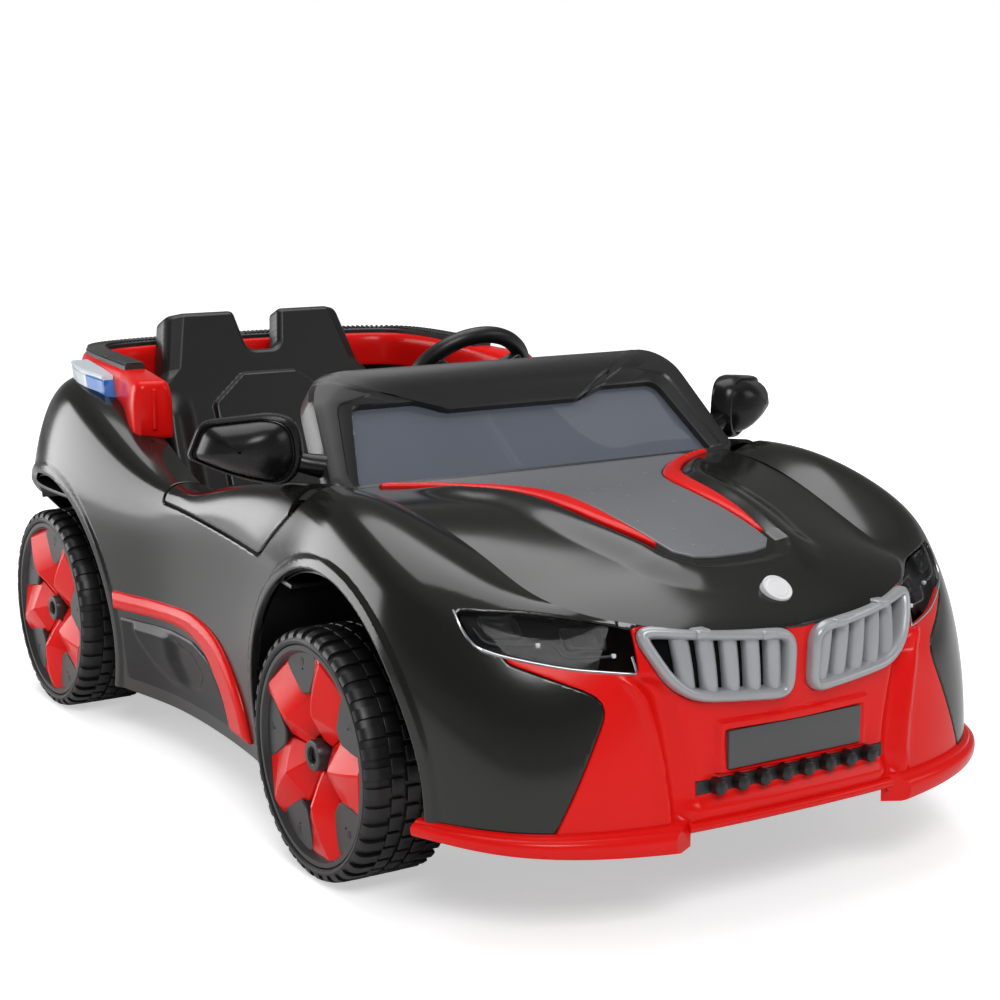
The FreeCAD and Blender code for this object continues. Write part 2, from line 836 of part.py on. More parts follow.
# Stripe and insert outlines in plan, from the windscreen to the nose.
HOOD_UNDER = 200
STRIPE_OUT = [
    (222, -190), (182, -210), (146, -238), (112, -276), (97, -314), (90, -360), (82, -410), (72, -444)]
STRIPE_IN = [
    (204, -190), (164, -212), (128, -240), (94, -278), (79, -316), (74, -362), (71, -410), (69, -440)]
INSERT_FRONT = [(66, -478), (46, -500), (24, -505)]
INSERT_MIDDLE = (-508, -190)
stripe_outline = STRIPE_OUT + STRIPE_IN[::-1]
insert_outline = [(x - size("insert_gap"), y) for x, y in STRIPE_IN] + INSERT_FRONT
insert_outline += [(PAST_MIDDLE, y) for y in INSERT_MIDDLE]
stripe_layer = hood_layer(size("stripe_rise"), gap)
stripe_half = largest(stripe_layer.common(plan_prism(stripe_outline, HOOD_UNDER, FAR)))
insert_layer = hood_layer(size("insert_rise"), gap)
insert_half = largest(insert_layer.common(plan_prism(insert_outline, HOOD_UNDER, FAR)))
formed("hood_stripes", Part.makeCompound([stripe_half, mirrored(stripe_half)]))
formed("hood_insert", both_halves(insert_half))

# Rear surround: a hollow U-shaped wall round the seat back, with a ribbed band on top.
SURROUND = [
    ("quarter", 5, 42, 0.5, 1.3), ("haunch", 3, -8, 0.25, 0.9), ("rear_wheel", 3, 0, 0.08, 0.2),
    ("tail", 4, 0, 0, 0), ("tail_corner", -6, 12, 0, 0), ("tail_outer", 0, -2, 0, 0),
    ("tail_inner", 0, -2, 0, 0), ("tail_centre", 0, -2, 0, 0),
]


def surround_path():
    """Points along the surround in plan, each with the height of its foot and of its top."""
    points = []
    for name, out, along, dip, deepen in SURROUND:
        words = ("_top_x", "_top_y") if name.startswith("tail_") else ("_rim_x", "_y")
        middle = Vec(size(name + words[0]) + out, size(name + words[1]) + along, 0)
        top = size("surround_top_z") - size("surround_slope") * dip
        points.append((middle, top - size("surround_drop") - size("surround_slope") * deepen, top))
    return points


def wall_along(path, half, sink=0, lower=0):
    """A wall of even thickness along such a path, its top and its foot moved down on request."""
    outer = []
    inner = []
    last = len(path) - 1
    for i, (point, low, top) in enumerate(path):
        along = path[min(i + 1, last)][0] - path[max(i - 1, 0)][0]
        across = Vec(along.y, -along.x, 0)
        if abs(point.x) < 1e-6:
            across.x = 0
        across.normalize()
        foot = low - lower
        heights = [foot + (top - sink - foot) * number / 3 for number in range(4)]
        outer.append([point + across * half + Vec(0, 0, z) for z in heights])
        inner.append([point - across * half + Vec(0, 0, z) for z in heights])
    return shell_between(outer, inner)


path = surround_path()
half_wall = size("surround_half_wall")
wall_skin = size("surround_skin")
surround_half = wall_along(path, half_wall)
hollow = wall_along(path, half_wall - wall_skin, wall_skin, size("surround_room"))
front_cap = Part.makeBox(FAR, FAR, FAR, Vec(0, path[0][0].y + wall_skin - FAR, 0))
surround_half = surround_half.cut(hollow.cut(front_cap))
surround_half = largest(surround_half.cut(over_skin))
formed("rear_surround", both_halves(surround_half))
trim_path = [(point, top + gap, top + gap + size("trim_rise")) for point, low, top in path]
before_trim = Part.makeBox(FAR, FAR, FAR, Vec(0, size("trim_front_y") - FAR, 0))
formed("surround_trim", both_halves(largest(wall_along(trim_path, size("trim_half")).cut(before_trim))))
lamp_block = Part.makeBox(
    BEYOND, size("tail_lamp_back_y") - size("tail_lamp_front_y"),
    size("tail_lamp_top_z") - size("tail_lamp_low_z"),
    Vec(size("tail_lamp_outer_x") - BEYOND, size("tail_lamp_front_y"), size("tail_lamp_low_z")))
lamp_half = lamp_block.cut(wall_along(path, half_wall + gap, -BEYOND, BEYOND))
lamp_half = lamp_half.cut(over_skin)
outboard = [s for s in lamp_half.Solids if s.CenterOfMass.x > size("rear_wheel_rim_x") + half_wall]
tail_lamp_half = max(outboard, key=lambda solid: solid.CenterOfMass.z * solid.Volume)
formed("tail_lamp_left", tail_lamp_half)
formed("tail_lamp_right", mirrored(tail_lamp_half))

# Windscreen frame and glass, both in the sloping plane of the glass.
screen_turn = FreeCAD.Rotation(Vec(1, 0, 0), size("screen_angle"))
frame_outer = padded(
    "frame_outer", "XY",
    [("-frame_low_half", "0"), ("frame_low_half", "0"),
     ("frame_top_half", "frame_length"), ("-frame_top_half", "frame_length")],
    "frame_depth",
    ("0", "screen_y + frame_depth*sin(screen_angle)", "screen_z - frame_depth*cos(screen_angle)"),
    screen_turn)
frame_hole = padded(
    "frame_hole", "XY",
    [("-glass_low_half", "glass_foot"), ("glass_low_half", "glass_foot"),
     ("glass_top_half", "glass_length"), ("visor_shoulder", "glass_length"),
     ("visor_half", "glass_length - visor_drop"), ("-visor_half", "glass_length - visor_drop"),
     ("-visor_shoulder", "glass_length"), ("-glass_top_half", "glass_length")],
    "frame_depth*3",
    ("0", "screen_y + frame_depth*2*sin(screen_angle)", "screen_z - frame_depth*2*cos(screen_angle)"),
    screen_turn)
windscreen = padded(
    "windscreen", "XY",
    [("seat_gap - glass_low_half", "glass_foot + seat_gap"),
     ("glass_low_half - seat_gap", "glass_foot + seat_gap"),
     ("glass_top_half - seat_gap", "glass_length - seat_gap"),
     ("visor_shoulder + seat_gap", "glass_length - seat_gap"),
     ("visor_half + seat_gap", "glass_length - visor_drop - seat_gap"),
     ("-visor_half - seat_gap", "glass_length - visor_drop - seat_gap"),
     ("-visor_shoulder - seat_gap", "glass_length - seat_gap"),
     ("seat_gap - glass_top_half", "glass_length - seat_gap")],
    "glass_thick",
    ("0", "screen_y + frame_depth/2*sin(screen_angle)", "screen_z - frame_depth/2*cos(screen_angle)"),
    screen_turn)
frame_ring = cut_from("frame_ring", frame_outer, [frame_hole])
doc.recompute()
over_door = skin_layer(size("panel_gap"), -size("skin") - size("panel_gap"))
frame_shape = frame_ring.Shape.cut(over_skin).cut(mirrored(over_skin))
frame_shape = frame_shape.cut(over_door.common(door_zone))
frame_shape = frame_shape.cut(mirrored(over_door.common(door_zone)))
frame_shape = frame_shape.cut(Part.makeCompound(hood.Solids))
foot_room = Part.makeBox(FAR, FAR, size("foot_cut_z"), Vec(size("foot_cut_x"), -FAR / 2, 0))
frame_shape = frame_shape.cut(foot_room).cut(mirrored(foot_room))
windscreen_frame = largest(frame_shape)
formed("windscreen_frame", windscreen_frame)

# Mirrors: a rounded pod on a stalk that meets the windscreen post.
OVAL_POINTS = 16
POD_SHARES = (-1.0, -0.93, -0.7, -0.3, 0.15, 0.6, 0.88, 1.0)
BLUNT_END = 0.12


def oval(along, half_depth, half_height):
    points = []
    for number in range(OVAL_POINTS):
        angle = 2 * math.pi * number / OVAL_POINTS
        points.append(Vec(along, half_depth * math.cos(angle), half_height * math.sin(angle)))
    curve = Part.BSplineCurve()
    curve.interpolate(points, PeriodicFlag=True)
    return Part.Wire(curve.toShape())


ovals = []
for share in POD_SHARES:
    swell = max(BLUNT_END, math.sqrt(1 - share * share))
    ovals.append(oval(
        share * size("mirror_half_length"),
        swell * size("mirror_half_depth"), swell * size("mirror_half_height")))
pod = Part.makeLoft(ovals, True)
behind = Part.makeBox(FAR, FAR, FAR, Vec(-FAR / 2, size("mirror_back"), -FAR / 2))
pod = pod.cut(behind)
pod.rotate(Vec(0, 0, 0), Vec(0, 0, 1), size("mirror_sweep"))
pod.translate(Vec(size("mirror_x"), size("mirror_y"), size("mirror_z")))
stalk_from = Vec(size("stalk_x"), size("stalk_y"), size("stalk_z"))
stalk_to = Vec(
    size("mirror_x") - size("stalk_in_x"), size("mirror_y") - size("stalk_in_y"),
    size("mirror_z") - size("stalk_in_z"))
stalk = Part.makeCylinder(
    size("stalk_radius"), (stalk_to - stalk_from).Length, stalk_from, stalk_to - stalk_from)
mirror_half = pod.fuse(stalk).cut(windscreen_frame)
mirror_half = largest(mirror_half.cut(over_skin))
formed("mirror_left", mirror_half)
formed("mirror_right", mirrored(mirror_half))

# Blank plate, studs and blank badge, each seated on the panel behind it.
plate = padded(
    "plate_blank", "XZ",
    [("-plate_half", "plate_low_z"), ("plate_half", "plate_low_z"),
     ("plate_half", "plate_top_z"), ("-plate_half", "plate_top_z")],
    "plate_deep", ("0", "plate_front_y + plate_deep", "0"))
doc.recompute()
plate_pieces = plate.Shape.cut(bumper)
formed("number_plate", min(plate_pieces.Solids, key=lambda solid: solid.CenterOfMass.y))
STUDS = 8
studs = []
for number in range(STUDS):
    left = (number - (STUDS - 1) / 2) * size("stud_pitch") - size("stud_size") / 2
    stud = Part.makeBox(
        size("stud_size"), size("stud_deep"), size("stud_size"),
        Vec(left, size("stud_front_y"), size("stud_z") - size("stud_size") / 2))
    studs.append(min(stud.cut(bumper).Solids, key=lambda solid: solid.CenterOfMass.y))
formed("intake_studs", Part.makeCompound(studs))
badge_tilt = math.radians(size("badge_tilt"))
badge_axis = Vec(0, -math.sin(badge_tilt), math.cos(badge_tilt))
badge_top = Vec(0, size("badge_y"), size("badge_z"))
badge_foot = badge_top - badge_axis * size("badge_deep")
badge = Part.makeCylinder(size("badge_radius"), size("badge_deep"), badge_foot, badge_axis).cut(hood)
formed("badge", max(badge.Solids, key=lambda solid: solid.CenterOfMass.z))

# Chassis tub: footwell and battery bay walls, a flange that meets the skin, a seat shelf.
TUB = [
    ("tub_front_half", "tub_front_y"), ("tub_front_half", "tub_step_y"),
    ("tub_mid_half", "tub_step_y"), ("tub_mid_half", "tub_rear_step_y"),
    ("tub_rear_half", "tub_rear_step_y"), ("tub_rear_half", "tub_rear_y"),
]
INWARD = [(-1, 1), (-1, 1), (-1, 1), (-1, -1), (-1, -1), (-1, -1)]
tub_corners = [(x, y) for x, y in TUB] + [("-" + x, y) for x, y in TUB[::-1]]
room_corners = []
for (x, y), (sign_x, sign_y) in zip(TUB, INWARD):
    room_corners.append(("%s %+d*wall" % (x, sign_x), "%s %+d*wall" % (y, sign_y)))
room_corners += [("-(%s)" % x, y) for x, y in room_corners[::-1]]
tub_block = padded("tub_block", "XY", tub_corners, "flange_z - floor_z", ("0", "0", "floor_z"))
tub_room = padded("tub_room", "XY", room_corners, "flange_z", ("0", "0", "floor_z + floor"))
seat_shelf = block(
    "seat_shelf", ("-tub_rear_half", "shelf_front_y", "shelf_z - wall"),
    ("tub_rear_half*2", "shelf_back_y - shelf_front_y", "wall"))
shelf_wing = block(
    "shelf_wing", ("-tub_mid_half", "shelf_front_y", "shelf_z - wall"),
    ("tub_mid_half*2", "tub_rear_step_y - shelf_front_y", "wall"))
shelf_face = block(
    "shelf_face", ("-tub_mid_half", "shelf_front_y", "floor_z"),
    ("tub_mid_half*2", "wall", "shelf_z - floor_z"))
tub_walls = cut_from("tub_walls", tub_block, [tub_room])
tub_shell = joined("tub_shell", [tub_walls, seat_shelf, shelf_wing, shelf_face])
pedal_pin = rod(
    "pedal_pin", ("pedal_x - pedal_half - pedal_ear*2", "pedal_y", "pedal_z"),
    "pedal_pin", "pedal_half*2 + pedal_ear*4", ALONG_X)
ears = []
for number, shift in enumerate(("-pedal_half - pedal_ear*2", "pedal_half + pedal_ear")):
    ears.append(block(
        "pedal_ear_%d" % number,
        ("pedal_x + (%s)" % shift, "pedal_y - pedal_barrel", "floor_z + floor*0.5"),
        ("pedal_ear", "pedal_barrel*2", "pedal_z - floor_z + pedal_barrel")))
tub_solid = joined("tub_solid", [tub_shell, pedal_pin] + ears)
tub_cuts = []
for number, sign in enumerate(("", "-")):
    shift = "-wall*2" if sign == "" else "-wall"
    tub_cuts.append(block(
        "steering_window_%d" % number,
        (sign + "tub_front_half" + shift, "window_front_y", "window_low_z"),
        ("wall*3", "window_back_y - window_front_y", "window_top_z - window_low_z")))
    tub_cuts.append(rod(
        "motor_hole_%d" % number, (sign + "tub_rear_half" + shift, "motor_y", "motor_z"),
        "motor_radius + seat_gap", "wall*3", ALONG_X))
tub_cuts.append(rod(
    "axle_hole", ("-tub_rear_half*1.2", "rear_axle_y", "wheel_radius"),
    "axle_radius + seat_gap", "tub_rear_half*2.4", ALONG_X))
tub_cut = cut_from("tub_cut", tub_solid, tub_cuts)
flange_plate = block(
    "flange_plate", ("-wheel_face", "flange_front_y", "flange_z - wall"),
    ("wheel_face*2", "rear_axle_y - flange_front_y + flange_tail", "wall"))
flange = cut_from("flange", flange_plate, [tub_room])
doc.recompute()
flange_shape = flange.Shape.cut(beyond_skin).cut(mirrored(beyond_skin))
leg_half = size("tub_front_half") - size("wall")
leg_room = Part.makeBox(
    2 * leg_half, FAR, FAR, Vec(-leg_half, size("tub_step_y") + size("surround_room") - FAR, 0))
flange_shape = flange_shape.cut(leg_room)
formed("chassis_tub", largest(tub_cut.Shape.fuse(largest(flange_shape)).removeSplitter()))

# Seat: a hollow moulding with a raked back, two headrests, a middle ridge and side bolsters.
def on_back(up, out):
    """A point in the plane of symmetry, by distance up the raked back and out of its face."""
    return ("0",
            "seat_fold_y + (%s)*sin(seat_rake) - (%s)*cos(seat_rake)" % (up, out),
            "seat_fold_z + (%s)*cos(seat_rake) + (%s)*sin(seat_rake)" % (up, out))


BACK_FACE = FreeCAD.Rotation(Vec(1, 0, 0), 90 - size("seat_rake"))
UP_BACK = FreeCAD.Rotation(Vec(1, 0, 0), -size("seat_rake"))
seat_profile = [
    ("seat_front_y", "shelf_z + seat_gap"), ("seat_foot_y", "shelf_z + seat_gap"),
    ("seat_rear_y", "seat_back_z - seat_rear_edge"), ("seat_rear_y", "seat_back_z"),
    ("seat_back_y", "seat_back_z"), ("seat_fold_y", "seat_fold_z"), ("seat_front_y", "seat_front_z"),
]
seat_solid = padded("seat_solid", "YZ", seat_profile, "seat_half*2", ("-seat_half", "0", "0"))
hollow_front = "seat_fold_y + (seat_hollow_z - seat_fold_z)*tan(seat_rake) + seat_skin"
hollow_rear = "seat_foot_y + (seat_rear_y - seat_foot_y)*(%s)/(%s) - seat_skin*1.5" % (
    "seat_hollow_z - shelf_z", "seat_back_z - shelf_z")
seat_void = padded(
    "seat_void", "YZ",
    [("seat_front_y + seat_skin", "shelf_z - seat_skin"),
     ("seat_foot_y - seat_foot_wall", "shelf_z - seat_skin"),
     (hollow_rear, "seat_hollow_z"), (hollow_front, "seat_hollow_z"),
     ("seat_fold_y + seat_skin", "seat_fold_z - seat_skin"),
     ("seat_front_y + seat_skin", "seat_front_z - seat_skin")],
    "(seat_half - seat_skin)*2", ("-seat_half + seat_skin", "0", "0"))
seat_cuts = [seat_void]
seat_parts = []
for number, sign in enumerate(("", "-")):
    seat_cuts.append(padded(
        "back_corner_%d" % number, "XY",
        [(sign + "seat_half", "back_shoulder"), (sign + "back_narrow_x", "back_narrow"),
         (sign + "rest_outer_low_x", "rest_outer_low"), (sign + "rest_outer_low_x", "rest_top"),
         (sign + "seat_half*2", "rest_top"), (sign + "seat_half*2", "back_shoulder")],
        "seat_half*2", on_back("0", "-seat_half"), BACK_FACE))
    seat_parts.append(padded(
        "headrest_%d" % number, "XY",
        [(sign + "rest_outer_low_x", "rest_outer_low"), (sign + "rest_outer_x", "rest_top"),
         (sign + "rest_inner_x", "rest_top"), (sign + "rest_inner_low_x", "rest_inner_low")],
        "rest_thick", on_back("0", "-rest_thick"), BACK_FACE))
    seat_parts.append(padded(
        "back_bolster_%d" % number, "XY",
        [(sign + "bolster_x", "0"), (sign + "bolster_crest_x", "-bolster_proud"),
         (sign + "back_narrow_x", "-bolster_proud"), (sign + "back_narrow_x", "seat_skin"),
         (sign + "bolster_x", "seat_skin")],
        "bolster_top - bolster_low", on_back("bolster_low", "0"), UP_BACK))
    seat_parts.append(padded(
        "thigh_bolster_%d" % number, "XZ",
        [(sign + "thigh_x", "seat_fold_z - seat_skin"), (sign + "thigh_x", "seat_fold_z"),
         (sign + "bolster_crest_x", "seat_front_z + thigh_rise"),
         (sign + "seat_half", "seat_front_z + thigh_rise"), (sign + "seat_half", "seat_fold_z - seat_skin")],
        "seat_fold_y - seat_front_y - bolster_low", ("0", "seat_fold_y", "0")))
ridge = padded(
    "back_ridge", "XY",
    [("-ridge_half", "0"), ("ridge_half", "0"), ("ridge_half", "ridge_shoulder"),
     ("ridge_top_half", "ridge_top"), ("-ridge_top_half", "ridge_top"), ("-ridge_half", "ridge_shoulder")],
    "seat_skin + ridge_proud", on_back("0", "-seat_skin"), BACK_FACE)
seat = joined("seat", [cut_from("seat_shell", seat_solid, seat_cuts), ridge] + seat_parts)

# Steering wheel, shaft with its crank, and horn button; all are built along the column.
COLUMN = FreeCAD.Rotation(Vec(1, 0, 0), -size("column_tilt"))


def on_column(along, across="0"):
    """A point on the steering axis, by distance from the wheel and towards the crank."""
    return ("wheel_x",
            "wheel_y + (%s)*sin(column_tilt) + (%s)*cos(column_tilt)" % (along, across),
            "wheel_z + (%s)*cos(column_tilt) - (%s)*sin(column_tilt)" % (along, across))


ring = doc.addObject("Part::Torus", "wheel_ring")
ring.setExpression("Radius1", cells("ring_radius"))
ring.setExpression("Radius2", cells("ring_tube"))
place(ring, on_column("0"), COLUMN)
boss = rod("wheel_boss", on_column("-boss_length"), "boss_radius", "boss_length", COLUMN)
bars = []
for number, angle in enumerate((0, 125, -125)):
    spoke_turn = COLUMN.multiply(FreeCAD.Rotation(Vec(0, 0, 1), angle + 90))
    bar = padded(
        "wheel_bar_%d" % number, "XY",
        [("boss_radius*0.5", "-spoke_wide/2"), ("ring_radius", "-spoke_wide/2"),
         ("ring_radius", "spoke_wide/2"), ("boss_radius*0.5", "spoke_wide/2")],
        "spoke_tall", on_column("-spoke_tall"), spoke_turn)
    bars.append(bar)
wheel_solid = joined("wheel_solid", [ring, boss] + bars)
button_well = rod(
    "button_well", on_column("-well_deep"), "button_radius + seat_gap", "boss_length", COLUMN)
shaft_bore = rod("shaft_bore", on_column("-boss_length - 1"), "shaft_radius", "shaft_sink", COLUMN)
steering_wheel = cut_from("steering_wheel", wheel_solid, [button_well, shaft_bore])
horn_button = rod(
    "horn_button", on_column("-button_deep"), "button_radius", "button_deep + button_proud", COLUMN)
shaft = rod("shaft_rod", on_column("-shaft_length"), "shaft_radius", "shaft_length - shaft_seat", COLUMN)
crank = padded(
    "crank_arm", "XY",
    [("-crank_half", "-shaft_radius"), ("crank_half", "-shaft_radius"),
     ("crank_half", "crank_throw + crank_half"), ("-crank_half", "crank_throw + crank_half")],
    "crank_thick", on_column("-shaft_length - crank_thick"), COLUMN)
crank_pin = rod(
    "crank_pin", on_column("-shaft_length - crank_thick - crank_pin_length", "crank_throw"),
    "crank_pin_radius", "crank_pin_length + 2", COLUMN)
joined("steering_shaft", [shaft, crank, crank_pin])

# Dashboard, bored for the shaft and pocketed for the rocker.
dash_block = padded(
    "dash_block", "YZ",
    [("dash_front_y", "dash_low_z"), ("dash_knee_y - dash_lean", "dash_low_z"),
     ("dash_back_y", "dash_low_z + dash_rise"), ("dash_back_y", "dash_top_z - dash_edge"),
     ("dash_back_y - dash_edge", "dash_top_z"), ("dash_front_y", "dash_top_z")],
    "(tub_front_half - wall - dash_gap)*2", ("-tub_front_half + wall + dash_gap", "0", "0"))
dash_void = padded(
    "dash_void", "YZ",
    [("dash_front_y - wall", "dash_low_z + dash_skin"), ("dash_knee_y - dash_wall", "dash_low_z + dash_skin"),
     ("dash_back_y - dash_wall", "dash_low_z + dash_rise + dash_edge"),
     ("dash_back_y - dash_wall", "dash_top_z - dash_skin"),
     ("dash_front_y - wall", "dash_top_z - dash_skin")],
    "(tub_front_half - wall*2)*2", ("-tub_front_half + wall*2", "0", "0"))
column_bore = rod(
    "column_bore", on_column("-shaft_length"), "shaft_radius + running_gap", "shaft_length", COLUMN)
rocker_pocket = block(
    "rocker_pocket",
    ("rocker_x - rocker_half - rocker_room", "dash_back_y - rocker_deep",
     "rocker_z - rocker_half_tall - rocker_swing"),
    ("rocker_half*2 + rocker_room*2", "rocker_deep*2", "rocker_half_tall*2 + rocker_swing*2"))
rocker_bore = rod(
    "rocker_bore",
    ("rocker_x - rocker_half - rocker_pin_reach - rocker_room", "dash_back_y - rocker_axle_in", "rocker_z"),
    "rocker_pin + running_gap", "rocker_half*2 + rocker_pin_reach*2 + rocker_room*2", ALONG_X)
dash_shell = cut_from("dash_shell", dash_block, [dash_void])
dashboard = cut_from("dashboard", dash_shell, [column_bore, rocker_pocket, rocker_bore])
rocker_block = block(
    "rocker_block",
    ("rocker_x - rocker_half", "dash_back_y - rocker_deep + rocker_swing", "rocker_z - rocker_half_tall"),
    ("rocker_half*2", "rocker_deep - rocker_swing + rocker_proud", "rocker_half_tall*2"))
rocker_axle = rod(
    "rocker_axle",
    ("rocker_x - rocker_half - rocker_pin_reach", "dash_back_y - rocker_axle_in", "rocker_z"),
    "rocker_pin", "rocker_half*2 + rocker_pin_reach*2", ALONG_X)
joined("direction_rocker", [rocker_block, rocker_axle])

# Pedal on its pin.
pedal_turn = FreeCAD.Rotation(Vec(1, 0, 0), -size("pedal_angle"))
pedal_plate = block(
    "pedal_plate",
    ("pedal_x - pedal_half",
     "pedal_y - pedal_length*cos(pedal_angle)", "pedal_z + pedal_length*sin(pedal_angle)"),
    ("pedal_half*2", "pedal_length", "pedal_thick"), pedal_turn)
pedal_barrel = rod(
    "pedal_barrel", ("pedal_x - pedal_half", "pedal_y", "pedal_z"), "pedal_barrel", "pedal_half*2", ALONG_X)
pedal_bore = rod(
    "pedal_bore", ("pedal_x - pedal_half*2", "pedal_y", "pedal_z"),
    "pedal_pin + running_gap", "pedal_half*4", ALONG_X)
cut_from("pedal", joined("pedal_solid", [pedal_plate, pedal_barrel]), [pedal_bore])

# Front axle beam with an eye at each end.
beam_bar = block(
    "beam_bar", ("-kingpin_x", "front_axle_y - beam/2", "wheel_radius - beam/2"),
    ("kingpin_x*2", "beam", "beam"))
beam_parts = [beam_bar]
beam_bores = []
for number, sign in enumerate(("", "-")):
    beam_parts.append(rod(
        "beam_eye_%d" % number, (sign + "kingpin_x", "front_axle_y", "wheel_radius - eye_half"),
        "eye_radius", "eye_half*2"))
    beam_parts.append(block(
        "beam_foot_%d" % number,
        (sign + "beam_foot_x - beam_foot/2", "front_axle_y - beam_foot/2", "floor_z + floor"),
        ("beam_foot", "beam_foot", "wheel_radius - floor_z - floor")))
    beam_bores.append(rod(
        "beam_bore_%d" % number, (sign + "kingpin_x", "front_axle_y", "0"),
        "kingpin_radius + running_gap", "wheel_radius*2"))
cut_from("front_axle", joined("beam_solid", beam_parts), beam_bores)

# Tie rod with an eye at each arm and a fork for the crank.
tie_y = "front_axle_y + knuckle_arm"
tie_bar = rod("tie_bar", ("-kingpin_x", tie_y, "tie_z"), "tie_radius", "kingpin_x*2", ALONG_X)
tie_parts = [tie_bar]
tie_cuts = []
for number, (sign, free) in enumerate((("", "tie_free"), ("-", "running_gap"))):
    tie_parts.append(rod(
        "tie_eye_%d" % number, (sign + "kingpin_x", tie_y, "tie_z - tie_eye_half"),
        "tie_eye", "tie_eye_half*2"))
    tie_cuts.append(rod(
        "tie_bore_%d" % number, (sign + "kingpin_x", tie_y, "0"), "tie_pin + " + free, "tie_z*2"))
    tie_cuts.append(block(
        "tie_trim_%d" % number,
        (sign + "kingpin_x - tie_eye*1.2", tie_y + " - tie_eye", "tie_z + tie_eye_half"),
        ("tie_eye*2.4", "tie_eye*2", "tie_eye")))
tie_parts.append(block(
    "tie_fork", ("wheel_x - fork_half", tie_y + " - fork_half_depth", "fork_low_z"),
    ("fork_half*2", "fork_half_depth*2", "fork_top_z - fork_low_z")))
tie_cuts.append(block(
    "tie_slot", ("wheel_x - fork_slot_half", tie_y + " - fork_half_depth*2", "fork_floor_z"),
    ("fork_slot_half*2", "fork_half_depth*4", "fork_top_z")))
cut_from("tie_rod", joined("tie_solid", tie_parts), tie_cuts)

